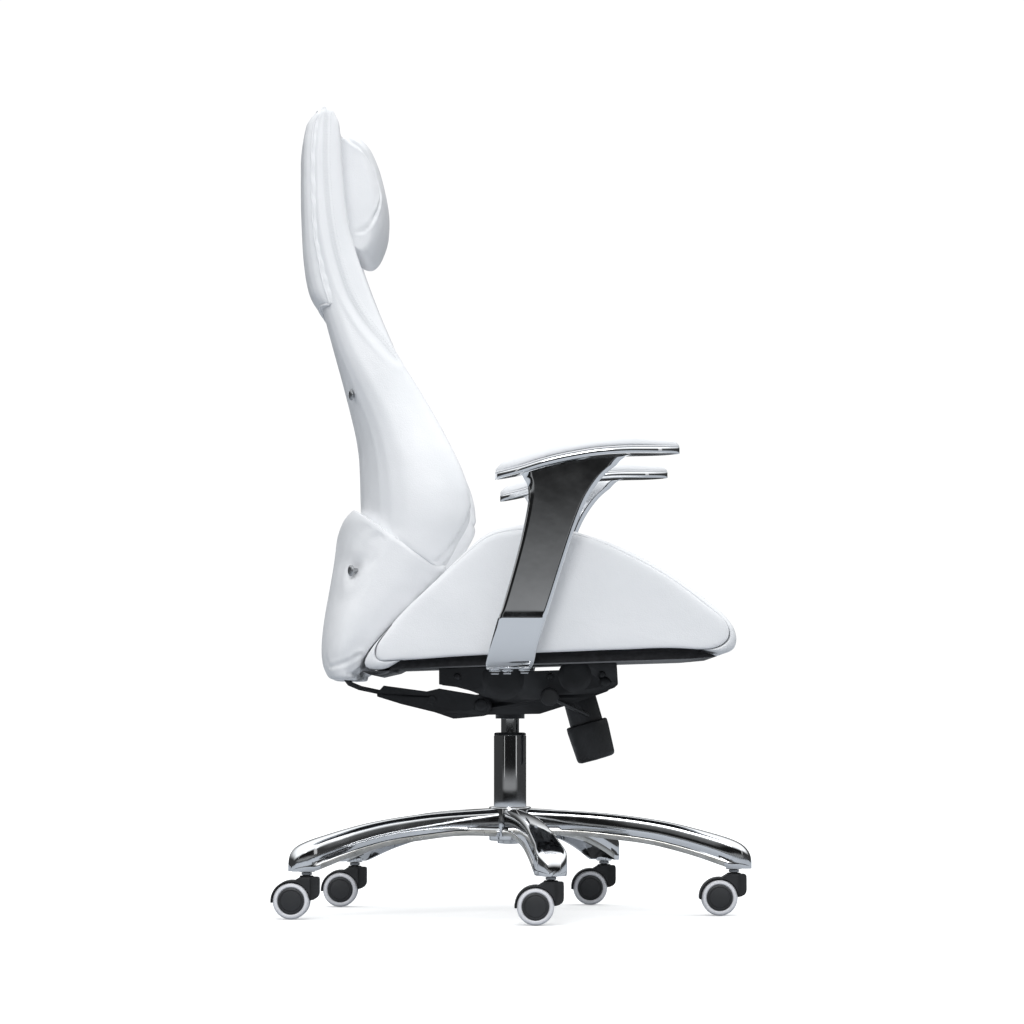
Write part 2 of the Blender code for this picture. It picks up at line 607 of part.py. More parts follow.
def make_height_lever():
    """A rod over the lift's release button, out through the housing to a flat grip on the sitter's left."""
    z = HEIGHT_LEVER_Z
    path = [(-0.012, 0, z), (0.100, 0, z), (0.135, -0.006, z - 0.008), (0.158, -0.008, z - 0.011)]
    lever = wire("height_lever", path, HEIGHT_LEVER_R, STEEL)
    paddle = [(0.150, 0.0100), (0.158, 0.0140), (0.205, 0.0150), (0.216, 0.0110)]
    rings = []
    for x, half_w in paddle:
        half = [(half_w, -0.0015), (half_w, 0.0015), (half_w * 0.75, 0.0055)]
        ring = half + [(-w, h) for w, h in reversed(half)]
        ring += [(-half_w * 0.75, -0.0055), (half_w * 0.75, -0.0055)]
        rings.append([Vector((x, -0.008 + w, z - 0.011 + h)) for w, h in ring])
    return add(lever, loft("height_lever_paddle", rings))


# ---------------------------------------------------------------- seat

SEAT_TOP_SIDE = [(0.2195, 0.3740), (0.2165, 0.3850), (0.2085, 0.3990), (0.1955, 0.4160), (0.1610, 0.4530),
                 (0.1270, 0.4870), (0.0940, 0.5190), (0.0620, 0.5500), (0.0385, 0.5715), (0.0150, 0.5835),
                 (-0.0227, 0.5895), (-0.0468, 0.5885), (-0.1004, 0.5795), (-0.1474, 0.5650), (-0.1904, 0.5450),
                 (-0.2334, 0.5210), (-0.2763, 0.4920), (-0.3150, 0.4620), (-0.3335, 0.4421), (-0.3400, 0.4206),
                 (-0.3364, 0.4035), (-0.3191, 0.3955)]
SEAT_TOP_MIDDLE_Z = [(-0.3406, 0.4206), (-0.3364, 0.4421), (-0.3191, 0.4620), (-0.2763, 0.4850),
                     (-0.2334, 0.4960), (-0.1474, 0.5000), (-0.0468, 0.4950), (0.0620, 0.4900),
                     (0.0940, 0.4880), (0.1270, 0.4840), (0.1610, 0.4530)]
SEAT_UNDERSIDE = [(-0.2870, 0.4040), (-0.2600, 0.4080), (-0.1200, 0.4032), (0.0300, 0.3985),
                  (0.1490, 0.3940), (0.1700, 0.3890), (0.1790, 0.3730)]


def seat_section(x):
    """The cushion's outline at x: high over the side bolsters, lower where the sitter sits."""
    side = abs(x)
    bolster = min(max((side - SEAT_BOLSTER_INNER_X) / SEAT_BOLSTER_SLOPE_W, 0.0), 1.0)
    bolster = bolster * bolster * (3 - 2 * bolster)
    edge = max(side - SEAT_EDGE_X, 0.0) / (SEAT_HALF_W - SEAT_EDGE_X)
    inset = SEAT_EDGE_INSET * edge * edge
    upper = []
    for y, z in SEAT_TOP_SIDE:
        if z > SEAT_NOSE_Z:
            middle = min(z, interpolate(y, SEAT_TOP_MIDDLE_Z))
            z = middle + (z - middle) * bolster
        upper.append((y, z))
    floor = min(z for _, z in SEAT_UNDERSIDE)
    ring = []
    for y, z in upper + SEAT_UNDERSIDE:
        (centre_y, centre_z), (reach_y, reach_z) = SEAT_SECTION_CENTRE, SEAT_SECTION_REACH
        if z > SEAT_BASE_Z:
            z = max(centre_z + (z - centre_z) * (1 - inset / reach_z), floor)
        ring.append(Vector((x, centre_y + (y - centre_y) * (1 - inset / reach_y), z)))
    return ring


def make_seat_cushion():
    half = (0.075, 0.155, 0.180, 0.205, 0.230, 0.250, 0.262, SEAT_HALF_W)
    stations = [-x for x in reversed(half)] + [0.0] + list(half)
    return loft("seat_cushion", [seat_section(x) for x in stations], LEATHER)


def make_seat_board():
    bottom, top = BOARD_BOTTOM, BOARD_TOP
    outline = [(0.2190, 0.3720), (0.2050, 0.3660), (0.1700, seat_plane(0.170, bottom)),
               (-0.2700, seat_plane(-0.270, bottom)), (-0.3100, 0.3935), (-0.2870, 0.4025),
               (-0.2600, 0.4065), (0.0300, seat_plane(0.030, top - 0.0006)), (0.1480, 0.3925),
               (0.1690, 0.3875), (0.1775, 0.3724)]
    return side_plate("seat_board", outline, -BOARD_HALF_W, BOARD_HALF_W, BLACK_FABRIC)


# ---------------------------------------------------------------- back

BACK_FRONT = [(0.360, 0.2290), (0.3762, 0.2272), (0.3852, 0.2238), (0.4061, 0.2118), (0.4260, 0.1992),
              (0.4584, 0.1674), (0.4898, 0.1345), (0.5220, 0.1010), (0.5406, 0.0855), (0.5675, 0.0690),
              (0.5850, 0.0560), (0.6050, 0.0495), (0.6260, 0.0500), (0.6430, 0.0520), (0.6730, 0.0596),
              (0.7034, 0.0732), (0.7340, 0.0884), (0.7646, 0.1051), (0.7951, 0.1249), (0.8256, 0.1461),
              (0.8560, 0.1658), (0.8865, 0.1810), (0.9201, 0.1963), (0.9660, 0.2131), (1.0011, 0.2299),
              (1.0392, 0.2421), (1.1001, 0.2514), (1.1764, 0.2561), (1.2054, 0.2585), (1.2223, 0.2669),
              (BACK_TOP, 0.2760)]
BACK_REAR = [(0.50, 0.2300), (0.6093, 0.2303), (0.6882, 0.2303), (0.7187, 0.2325), (0.7492, 0.2400),
             (0.7951, 0.2530), (0.8560, 0.2698), (0.9201, 0.2855), (0.9477, 0.2915), (0.9780, 0.2980),
             (1.0087, 0.3032), (1.0392, 0.3058), (1.0850, 0.3065), (1.1500, 0.3060), (1.1800, 0.3028),
             (1.2070, 0.2975), (1.2223, 0.2910), (BACK_TOP, 0.2830)]
LOW_REAR = [(0.3583, 0.2700), (0.3630, 0.2780), (0.3760, 0.2850), (0.3958, 0.2888), (0.4163, 0.2876),
            (0.4407, 0.2842), (0.4793, 0.2768), (0.5379, 0.2682), (0.5819, 0.2626), (0.6000, 0.2592),
            (0.6100, 0.2530), (0.6160, 0.2455), (0.6190, 0.2350)]
BACK_HALF_W = [(0.36, 0.222), (0.42, 0.236), (0.54, 0.247), (0.62, 0.250), (0.70, 0.236), (0.80, 0.208),
               (0.90, 0.190), (1.00, 0.180), (1.10, 0.174), (1.18, 0.169), (1.2223, 0.165), (BACK_TOP, 0.160)]
BACK_HOLLOW = [(0.36, 0.002), (0.52, 0.012), (0.56, 0.034), (0.60, 0.056), (0.68, 0.058), (0.76, 0.050),
               (0.86, 0.032), (0.95, 0.020), (1.05, 0.012), (1.18, 0.008), (BACK_TOP, 0.001)]
BACK_SQUARENESS = [(0.60, 2.5), (0.78, 3.0), (0.92, 5.0)]
BOLSTER_W = [(0.60, 0.034), (0.95, 0.014)]
BOLSTER_SLOPE_W = [(0.60, 0.044), (0.95, 0.018)]


def rear_curve(z, rear_y, steps):
    """Half of the back's rounded rear, as (x, y) from the middle out to its widest line."""
    half_w = interpolate(z, BACK_HALF_W)
    front_y = interpolate(z, BACK_FRONT)
    widest_y = front_y + WIDEST_SHARE * (rear_y - front_y)
    power = 2 / interpolate(z, BACK_SQUARENESS)
    points = []
    for i in range(steps + 1):
        angle = math.radians(90) * i / steps
        points.append((half_w * math.sin(angle) ** power,
                       widest_y + (rear_y - widest_y) * max(math.cos(angle), 0.0) ** power))
    return points


def back_section(z, rear_y):
    """The back's outline at height z: round behind, with a bolster at each side in front."""
    half_w = interpolate(z, BACK_HALF_W)
    front_y = interpolate(z, BACK_FRONT)
    hollow = interpolate(z, BACK_HOLLOW)
    widest_y = front_y + WIDEST_SHARE * (rear_y - front_y)
    bolster = interpolate(z, BOLSTER_W)
    slope = interpolate(z, BOLSTER_SLOPE_W)
    half = rear_curve(z, rear_y, REAR_STEPS)
    for i in range(1, 5):
        angle = math.radians(90) * i / 4
        half.append((half_w - bolster + bolster * max(math.cos(angle), 0.0) ** 0.8,
                     widest_y - (widest_y - front_y) * math.sin(angle) ** 0.8))
    half += [(half_w - bolster - 0.5 * slope, front_y + 0.30 * hollow),
             (half_w - bolster - slope, front_y + 0.82 * hollow),
             (half_w - bolster - 1.5 * slope, front_y + hollow)]
    ring = half + [(0.0, front_y + hollow)] + [(-x, y) for x, y in reversed(half[1:])]
    return [Vector((x, y, z)) for x, y in ring]


def seam_cutter(name, above, offset):
    """Everything above or below the seam plane, moved away from it by an offset."""
    rear, front = Vector(SEAM_REAR), Vector(SEAM_FRONT)
    along = (rear - front).normalized()
    up = Vector((-along.y, along.x))
    side = up if above else -up
    start = front - along * 0.5 + side * offset
    end = rear + along * 0.5 + side * offset
    far = side * 0.9
    outline = [tuple(start), tuple(end), tuple(end + far), tuple(start + far)]
    return side_plate(name, outline, -0.4, 0.4)


def bar_slot(name):
    path = [(y, z) for y, z in BAR_PATH if y > 0.24 or z > 0.35]
    path = [(0.215, 0.3440)] + path + [(0.2253, 0.5950)]
    half_w = BAR_HALF_W + SLOT_ROOM / 2
    return side_plate(name, strip_outline(path, BAR_THICKNESS + SLOT_ROOM), -half_w, half_w)


BACKBOARD_PATH = [(0.2410, 0.4300), (0.2320, 0.4750), (0.2220, 0.5350), (0.2120, 0.6000), (0.2045, 0.6500),
                  (0.2040, 0.7000), (0.2150, 0.7500), (0.2290, 0.8000), (0.2450, 0.8600), (0.2620, 0.9200),
                  (0.2765, 0.9900), (0.2840, 1.0600), (0.2850, 1.1500)]


def make_backboard():
    """The moulded plywood board inside the back, screwed to the steel bar behind it."""
    outline = strip_outline(BACKBOARD_PATH, BACKBOARD_THICKNESS)
    return side_plate("back_board", outline, -BACKBOARD_HALF_W, BACKBOARD_HALF_W, PLYWOOD)


def backboard_slot(name):
    outline = strip_outline(BACKBOARD_PATH[:-1] + [(0.2850, 1.1515)], BACKBOARD_THICKNESS + SLOT_ROOM)
    half_w = BACKBOARD_HALF_W + SLOT_ROOM / 2
    return side_plate(name, outline, -half_w, half_w)


BACK_LEVELS = (0.505, 0.5220, 0.5406, 0.5675, 0.5850, 0.6050, 0.6430, 0.6730, 0.7034, 0.7340, 0.7646, 0.7951,
               0.8256, 0.8560, 0.8865, 0.9201, 0.9477, 0.9780, 1.0087, 1.0392, 1.0850, 1.1500, 1.1800, 1.2070,
               1.2223, BACK_TOP)


def make_back_cushion():
    rings = [back_section(z, interpolate(z, BACK_REAR)) for z in BACK_LEVELS]
    cushion = loft("back_cushion", rings, LEATHER)
    cut(cushion, seam_cutter("below_seam", False, 0.0), backboard_slot("board_slot_upper"))
    return cushion


def make_lumbar_cushion():
    """The lower back: it swells out behind, and its upper edge is the slanting seam."""
    rings = [back_section(z, interpolate(z, LOW_REAR)) for z, _ in LOW_REAR]
    cushion = loft("lower_back_cushion", rings, LEATHER)
    cut(cushion, seam_cutter("above_seam", True, -0.0008), backboard_slot("board_slot_lower"))
    return cut(cushion, bar_slot("bar_slot"))


HEAD_PANEL_REAR = [(0.9225, 0.2870), (0.9324, 0.2975), (0.9477, 0.3066), (0.9780, 0.3124), (1.0087, 0.3160),
                   (1.0392, 0.3178), (1.0850, 0.3190), (1.1500, 0.3196), (1.1800, 0.3188), (1.2070, 0.3130),
                   (1.2200, 0.3020), (1.2270, 0.2930)]


def make_head_panel():
    """The raised pad behind the head, as wide as the back."""
    rings = []
    for z, panel_y in HEAD_PANEL_REAR:
        main = rear_curve(z, interpolate(z, BACK_REAR), REAR_STEPS)[:-1]
        thickness = panel_y - main[0][1]
        front = [(x, y + HEAD_PANEL_GAP) for x, y in main]
        share = [1.0, 1.0, 1.0, 0.98, 0.93, 0.80, 0.35]
        behind = [(x, y + max(thickness * s, HEAD_PANEL_GAP + 0.0005)) for (x, y), s in zip(main, share)]
        half = behind + front[::-1]
        ring = half + [(-x, y) for x, y in front[1:]] + [(-x, y) for x, y in reversed(behind[1:])]
        rings.append([Vector((x, y, z)) for x, y in ring])
    return loft("head_panel", rings, LEATHER)


PILLOW_FRONT = [(0.2490, 1.2045), (0.2410, 1.2038), (0.2265, 1.1950), (0.2140, 1.1790), (0.2035, 1.1520),
                (0.1950, 1.1216), (0.1895, 1.0958), (0.1885, 1.0730), (0.1905, 1.0465), (0.1990, 1.0200),
                (0.2105, 1.0052), (0.2210, 0.9985)]


def make_head_pillow():
    """A D-shaped pillow whose flat side rests against the middle of the back."""
    def middle_front(z):
        return interpolate(z, BACK_FRONT) + interpolate(z, BACK_HOLLOW) - PILLOW_BACK_OFFSET

    front = [(min(y, middle_front(z)), z) for y, z in PILLOW_FRONT]
    behind = [(middle_front(z), z) for z in (1.020, 1.060, 1.100, 1.145, 1.180, 1.197)]
    outline = front + behind
    rings = []
    for share in (-1.0, -0.97, -0.88, -0.70, -0.40, 0.0, 0.40, 0.70, 0.88, 0.97, 1.0):
        fullness = 0.62 + 0.38 * (1 - abs(share) ** 3.5) ** 0.5
        ring = []
        for y, z in outline:
            z = PILLOW_MIDDLE_Z + (z - PILLOW_MIDDLE_Z) * (0.5 + 0.5 * fullness)
            limit = middle_front(z)
            ring.append(Vector((share * PILLOW_HALF_W, min(limit + (y - limit) * fullness, limit), z)))
        rings.append(ring)
    return loft("head_pillow", rings, LEATHER)


SCREWS = {"upper": (0.7909, 0.2380, BACK_REAR), "lower": (0.5230, 0.2360, LOW_REAR)}  # height, y, profile


def screw_place(height, target_y, rear_table, side):
    """A point on the back's rounded rear and the direction away from it."""
    curve = rear_curve(height, interpolate(height, rear_table), 90)
    index = min(range(1, 90), key=lambda i: abs(curve[i][1] - target_y))
    (x, y), (x1, y1), (x2, y2) = curve[index], curve[index - 1], curve[index + 1]
    outward = Vector((y1 - y2, x2 - x1, 0)).normalized()
    return Vector((side * x, y, height)), Vector((side * outward.x, outward.y, 0))


def make_back_screws(cushions):
    """Chromed cap screws, each sunk in a pocket of the back."""
    screws = []
    for word, (height, target_y, rear_table) in SCREWS.items():
        for side, side_word in ((-1, "right"), (1, "left")):
            place, outward = screw_place(height, target_y, rear_table, side)
            name = f"back_screw_{word}_{side_word}"
            cut(cushions[word], rod(f"{name}_pocket", place - outward * 0.0145, place + outward * 0.02,
                                    SCREW_CAP_R + 0.0012, sides=20))
            screw = rod(name, place - outward * 0.0005, place + outward * 0.0035, SCREW_CAP_R, CHROME,
                        end_radius=SCREW_CAP_R - 0.0015, sides=20)
            add(screw, rod(f"{name}_shank", place - outward * 0.0135, place, 0.0040, sides=12))
            screws.append(screw)
    return screws


# ---------------------------------------------------------------- armrests

ARM_REAR_EDGE = [(0.0340, 0.0), (0.0340, 0.0), (0.0325, 0.3850), (0.0280, 0.4050), (0.0165, 0.4450),
                 (0.0060, 0.4758), (-0.0108, 0.5353), (-0.0225, 0.5830), (-0.0302, 0.6240), (-0.0290, 0.6430),
                 (-0.0240, 0.6540), (-0.0180, 0.6600)]
ARM_FRONT_EDGE = [(-0.0365, 0.0), (-0.0365, 0.0), (-0.0385, 0.3870), (-0.0435, 0.4070), (-0.0550, 0.4450),
                  (-0.0647, 0.4758), (-0.0832, 0.5347), (-0.0994, 0.5830), (-0.1168, 0.6240), (-0.1383, 0.6555),
                  (-0.1600, 0.6750), (-0.1830, 0.6895)]
ARM_BEND = [(0.3770, 0.2780), (0.3850, 0.2915), (0.4060, 0.3035), (0.4450, 0.3110)]  # height, x
FRAME_BOTTOM = [(-0.2517, 0.6915), (-0.2200, 0.6905), (-0.1808, 0.6901), (-0.1378, 0.6876), (-0.0948, 0.6811),
                (-0.0518, 0.6715), (-0.0153, 0.6606), (0.0160, 0.6540)]
PAD_CROWN = [(-0.2524, 0.7028), (-0.2459, 0.7103), (-0.2243, 0.7167), (-0.1812, 0.7232), (-0.1380, 0.7232),
             (-0.0950, 0.7179), (-0.0518, 0.7070), (-0.0087, 0.6876), (0.0194, 0.6690)]
ARM_STATIONS = (-0.2524, -0.2490, -0.2400, -0.2200, -0.1808, -0.1378, -0.0948, -0.0518, -0.0153, 0.0040,
                0.0140, 0.0185)


def make_arm_plate(name, side):
    """A flat chromed bar: a foot under the seat board, a bend, and a stalk that widens to the pad."""
    foot_z = BOARD_BOTTOM - GAP - ARM_PLATE_THICKNESS / 2
    half = ARM_PLATE_THICKNESS / 2
    rings = []
    for i, (rear, front) in enumerate(zip(ARM_REAR_EDGE, ARM_FRONT_EDGE)):
        middle_z = (rear[1] + front[1]) / 2
        inner, outer = [], []
        for step in range(5):
            share = step / 4
            y = rear[0] + (front[0] - rear[0]) * share
            z = rear[1] + (front[1] - rear[1]) * share
            if i < 2:
                x = ARM_FOOT_INNER_X if i == 0 else ARM_FOOT_OUTER_X
                z = seat_plane(y, foot_z)
                inner.append((x, y, z + half))
                outer.append((x, y, z - half))
                continue
            if i == len(ARM_REAR_EDGE) - 1:
                z = interpolate(y, FRAME_BOTTOM) - GAP
            x = interpolate(middle_z, ARM_BEND)
            slope = (interpolate(middle_z + 0.004, ARM_BEND) - interpolate(middle_z - 0.004, ARM_BEND)) / 0.008
            normal = Vector((1, -slope)).normalized() * half
            inner.append((x - normal.x, y, z - normal.y))
            outer.append((x + normal.x, y, z + normal.y))
        ring = inner + outer[::-1]
        rings.append([Vector((side * x, y, z)) for x, y, z in ring])
    return loft(name, rings, CHROME)


def pad_half_width(y):
    """The armrest's plan outline: long, with a round nose and tail."""
    share = min(abs(y - ARM_PAD_MIDDLE_Y) / ARM_PAD_HALF_LENGTH, 1.0)
    return max(ARM_PAD_HALF_W * (1 - share ** 3.2) ** 0.5, ARM_END_HALF_W)


def make_arm_frame(name, side):
    """The chromed tray under the pad."""
    rings = []
    for y in ARM_STATIONS:
        half_w = pad_half_width(y)
        bottom = interpolate(y, FRAME_BOTTOM)
        top = bottom + ARM_FRAME_THICKNESS
        half = [(half_w - 0.003, bottom), (half_w, bottom + 0.003), (half_w, top - 0.002), (half_w - 0.002, top)]
        ring = half + [(-w, z) for w, z in reversed(half)]
        rings.append([Vector((side * ARM_X + w, y, z)) for w, z in ring])
    return loft(name, rings, CHROME)


def make_arm_pad(name, side):
    rings = []
    for y in ARM_STATIONS:
        half_w = pad_half_width(y) + 0.0002
        bottom = interpolate(y, FRAME_BOTTOM) + ARM_FRAME_THICKNESS + GAP
        height = max(interpolate(y, PAD_CROWN) - bottom, 0.002)
        half = [(half_w - 0.001, bottom), (half_w, bottom + 0.30 * height), (0.92 * half_w, bottom + 0.62 * height),
                (0.68 * half_w, bottom + 0.88 * height), (0.30 * half_w, bottom + height)]
        ring = half + [(-w, z) for w, z in reversed(half)]
        rings.append([Vector((side * ARM_X + w, y, z)) for w, z in ring])
    return loft(name, rings, LEATHER)


def make_arm_bolts(side, side_word, plate, board):
    """Hexagon bolts up through the arm's foot into the seat board."""
    bolts = []
    for i, (x, y) in enumerate(ARM_BOLTS):
        name = f"arm_bolt_{side_word}_{i + 1}"
        foot = seat_plane(y, BOARD_BOTTOM - GAP - ARM_PLATE_THICKNESS)
        x *= side
        bolt = rod(name, (x, y, foot - 0.0050), (x, y, foot - 0.0006), 0.0065, CHROME, sides=6)
        add(bolt, rod(f"{name}_shank", (x, y, foot - 0.003), (x, y, foot + 0.0185), 0.0030, sides=12))
        for target, word in ((plate, "foot"), (board, "board")):
            cut(target, rod(f"{name}_{word}_hole", (x, y, foot - 0.02), (x, y, foot + 0.0195), 0.0035, sides=12))
        bolts.append(bolt)
    return bolts


# ---------------------------------------------------------------- assembly

def build_chair():
    make_star_base()
    make_castors()
    lift_rod, cylinder, valve_pin = make_lift()

    swivel = joint_axis("seat_swivel", (0, 0, TUBE_TOP))
    move_with(swivel, lift_rod)
    height = joint_axis("lift_height", (0, 0, TUBE_TOP), swivel)
    cup, spring, knob = make_tension()
    housing = make_housing()
    move_with(height, cylinder, housing)
    rear_pin = make_pivot_pin("rear_pivot_pin", REAR_PIVOT, BRACKET_OUTER_X + 0.001, 0.0105)
    front_pin = make_pivot_pin("front_pivot_pin", FRONT_PIVOT, PLATE_OUTER_X + 0.001, 0.0080)
    for piece in (rear_pin, front_pin, cup, spring, knob):
        hold(piece, height)

    tilt_lock = joint_axis("tilt_lock", TILT_LEVER_PIVOT, height)
    move_with(tilt_lock, make_tilt_lever())
    move_with(joint_axis("valve_pin_travel", (0, 0, CYLINDER_TOP), height), valve_pin)
    height_release = joint_axis("height_release", (HOUSING_HALF_W, 0, HEIGHT_LEVER_Z), height)
    move_with(height_release, make_height_lever())

    seat_tilt = joint_axis("seat_tilt", (0, *FRONT_PIVOT), height)
    board = make_seat_board()
    move_with(seat_tilt, make_seat_plate(), make_seat_cushion())
    for side, word in ((-1, "right"), (1, "left")):
        plate = make_arm_plate(f"arm_plate_{word}", side)
        frame = make_arm_frame(f"arm_frame_{word}", side)
        pad = make_arm_pad(f"arm_pad_{word}", side)
        bolts = make_arm_bolts(side, word, plate, board)
        move_with(seat_tilt, plate, frame, pad, *bolts)
    move_with(seat_tilt, board)

    recline = joint_axis("back_recline", (0, *REAR_PIVOT), height)
    upper, lower = make_back_cushion(), make_lumbar_cushion()
    screws = make_back_screws({"upper": upper, "lower": lower})
    move_with(recline, make_bracket(), make_back_bar(), make_backboard(), upper, lower, make_head_panel(),
              make_head_pillow(), *screws)


clear_scene()
PARTS = new_collection("swivel_office_chair")
CUTTERS = new_collection("cutters", hidden=True)
LEATHER = principled("white_leather", (0.83, 0.84, 0.85), 0.45)
CHROME = principled("chrome", (0.80, 0.81, 0.83), 0.08, 1.0)
STEEL = principled("steel", (0.35, 0.35, 0.36), 0.35, 1.0)
BLACK_STEEL = principled("black_steel", (0.020, 0.021, 0.023), 0.45, 0.3)
BLACK_PLASTIC = principled("black_plastic", (0.018, 0.019, 0.021), 0.50)
BLACK_FABRIC = principled("black_fabric", (0.015, 0.015, 0.016), 0.90)
TREAD = principled("white_tread", (0.70, 0.70, 0.72), 0.55)
PLYWOOD = principled("plywood", (0.55, 0.40, 0.24), 0.65)
build_chair()
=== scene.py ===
"""Looks of the swivel office chair: white leather, polished chrome, black steel and plastic.

Metres, +Z up, in the frame's axes: the chair faces -Y and the sitter's right is at -X.
Soft pieces are wrapped round the frame's plain solids, puffed as cloth, then creased and stitched.
"""

import json
import math

import bmesh
import bpy
import numpy as np
from mathutils import Matrix, Vector, noise
from mathutils.bvhtree import BVHTree
from mathutils.kdtree import KDTree


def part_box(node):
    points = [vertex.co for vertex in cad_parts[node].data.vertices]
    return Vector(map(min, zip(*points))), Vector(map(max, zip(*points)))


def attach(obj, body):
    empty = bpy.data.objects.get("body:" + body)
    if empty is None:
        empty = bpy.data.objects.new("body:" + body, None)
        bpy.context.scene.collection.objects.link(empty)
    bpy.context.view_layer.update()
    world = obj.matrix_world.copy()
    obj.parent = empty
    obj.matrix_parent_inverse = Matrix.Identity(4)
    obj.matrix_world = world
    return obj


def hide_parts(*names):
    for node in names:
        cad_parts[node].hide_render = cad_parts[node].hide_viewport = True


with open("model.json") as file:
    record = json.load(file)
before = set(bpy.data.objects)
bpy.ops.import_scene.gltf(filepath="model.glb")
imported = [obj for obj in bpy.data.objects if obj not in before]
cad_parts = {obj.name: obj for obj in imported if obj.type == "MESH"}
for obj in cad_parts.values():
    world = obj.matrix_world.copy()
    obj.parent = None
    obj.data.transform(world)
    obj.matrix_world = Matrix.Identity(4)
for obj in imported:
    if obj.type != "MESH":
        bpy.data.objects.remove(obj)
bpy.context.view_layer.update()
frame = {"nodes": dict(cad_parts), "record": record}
NODES = frame["nodes"]
BODY_OF = {node: body for body, nodes in frame["record"]["behaviour"]["bodies"].items() for node in nodes}
SIDES = ((-1, "right"), (1, "left"))


# ---------------------------------------------------------------- numbers and meshes

def smooth_curve(pairs):
    """A smooth function through (key, value) pairs, which never overshoots them."""
    x, y = np.array(pairs, float).T
    h = np.diff(x)
    d = np.diff(y) / h
    m = np.zeros(len(x))
    m[0], m[-1] = d[0], d[-1]
    for i in range(1, len(x) - 1):
        if d[i - 1] * d[i] > 0:
            w1, w2 = 2 * h[i] + h[i - 1], h[i] + 2 * h[i - 1]
            m[i] = (w1 + w2) / (w1 / d[i - 1] + w2 / d[i])

    def value(at):
        at = np.clip(at, x[0], x[-1])
        i = np.clip(np.searchsorted(x, at, side="right") - 1, 0, len(h) - 1)
        t = (at - x[i]) / h[i]
        return ((1 + 2 * t) * (1 - t) ** 2 * y[i] + t * (1 - t) ** 2 * h[i] * m[i]
                + t * t * (3 - 2 * t) * y[i + 1] + t * t * (t - 1) * h[i] * m[i + 1])
    return value


def clamped(value):
    return min(max(value, 0.0), 1.0)


def through(rows, steps, closed=False):
    """Rows of numbers, with a Catmull-Rom curve's values between them. A closed one doesn't repeat its end."""
    p = np.array(rows, float)
    p = np.vstack([p[-1:], p, p[:2]]) if closed else np.vstack([2 * p[0] - p[1], p, 2 * p[-1] - p[-2]])
    found = []
    for a, b, c, d in zip(p, p[1:], p[2:], p[3:]):
        for t in np.linspace(0, 1, steps, endpoint=False):
            found.append(0.5 * (2 * b + (c - a) * t + (2 * a - 5 * b + 4 * c - d) * t * t
                                + (3 * b - a - 3 * c + d) * t ** 3))
    return np.array(found if closed else found + [p[-2]])


def evenly(points, spacing):
    """The same path with its points this far apart."""
    points = np.asarray(points, float)
    length = np.concatenate([[0], np.cumsum(np.linalg.norm(np.diff(points, axis=0), axis=1))])
    at = np.linspace(0, length[-1], max(int(length[-1] / spacing), 2) + 1)
    return np.stack([np.interp(at, length, points[:, k]) for k in range(points.shape[1])], axis=1)


def averaged(grid, times, wrap):
    for _ in range(times):
        if wrap:
            grid = (np.roll(grid, 1, 1) + 2 * grid + np.roll(grid, -1, 1)) / 4
        inner = (grid[:-2] + 2 * grid[1:-1] + grid[2:]) / 4
        grid = np.concatenate([grid[:1], inner, grid[-1:]])
    return grid


def smooth_grid(grid, times, wrap=True):
    """Softens a grid of points without shrinking it. The first and last rows only move along themselves."""
    soft = averaged(grid, times, wrap)
    return soft + averaged(grid - soft, times, wrap)


def linked(name, data):
    obj = bpy.data.objects.new(name, data)
    bpy.context.scene.collection.objects.link(obj)
    return obj


def new_object(name, data, material):
    data.materials.clear()
    data.materials.append(material)
    return linked(name, data)


def finish_mesh(name, bm, material, sharp=35):
    bmesh.ops.recalc_face_normals(bm, faces=bm.faces)
    mesh = bpy.data.meshes.new(name)
    bm.to_mesh(mesh)
    bm.free()
    mesh.shade_smooth()
    mesh.set_sharp_from_angle(angle=math.radians(sharp))
    return new_object(name, mesh, material)


def grid_piece(name, grid, material, sharp=180, turn=0):
    """A closed form through rows of points that each run round it. Each end is closed by a ladder of faces.

    The turn says which point of a row the ladder starts from.
    """
    bm = bmesh.new()
    rows = [[bm.verts.new(point) for point in row] for row in grid]
    count = len(rows[0])
    for low, high in zip(rows, rows[1:]):
        for i in range(count):
            j = (i + 1) % count
            bm.faces.new((low[i], low[j], high[j], high[i]))
    for row in (rows[0], rows[-1]):
        ring = row[turn:] + row[:turn]
        for i in range(count // 2):
            bm.faces.new(dict.fromkeys((ring[i], ring[i + 1], ring[count - 1 - i], ring[-i])))
    return finish_mesh(name, bm, material, sharp)


def turned(name, profile, material, place=Matrix.Identity(4), sides=64, sharp=30):
    """A closed profile of (radius, height) points turned about the local Z axis, then put in place."""
    bm = bmesh.new()
    rings = []
    for radius, height in profile:
        turns = [2 * math.pi * i / sides for i in range(sides)] if radius > 1e-6 else [0.0]
        rings.append([bm.verts.new((radius * math.cos(a), radius * math.sin(a), height)) for a in turns])
    pairs = list(zip(rings, rings[1:]))
    if len(rings[0]) > 1:
        pairs.append((rings[-1], rings[0]))
    for low, high in pairs:
        for i in range(sides):
            corners = [low[i % len(low)], low[(i + 1) % len(low)], high[(i + 1) % len(high)], high[i % len(high)]]
            corners = list(dict.fromkeys(corners))
            if len(corners) > 2:
                bm.faces.new(corners)
    bmesh.ops.transform(bm, matrix=place, verts=bm.verts)
    return finish_mesh(name, bm, material, sharp)


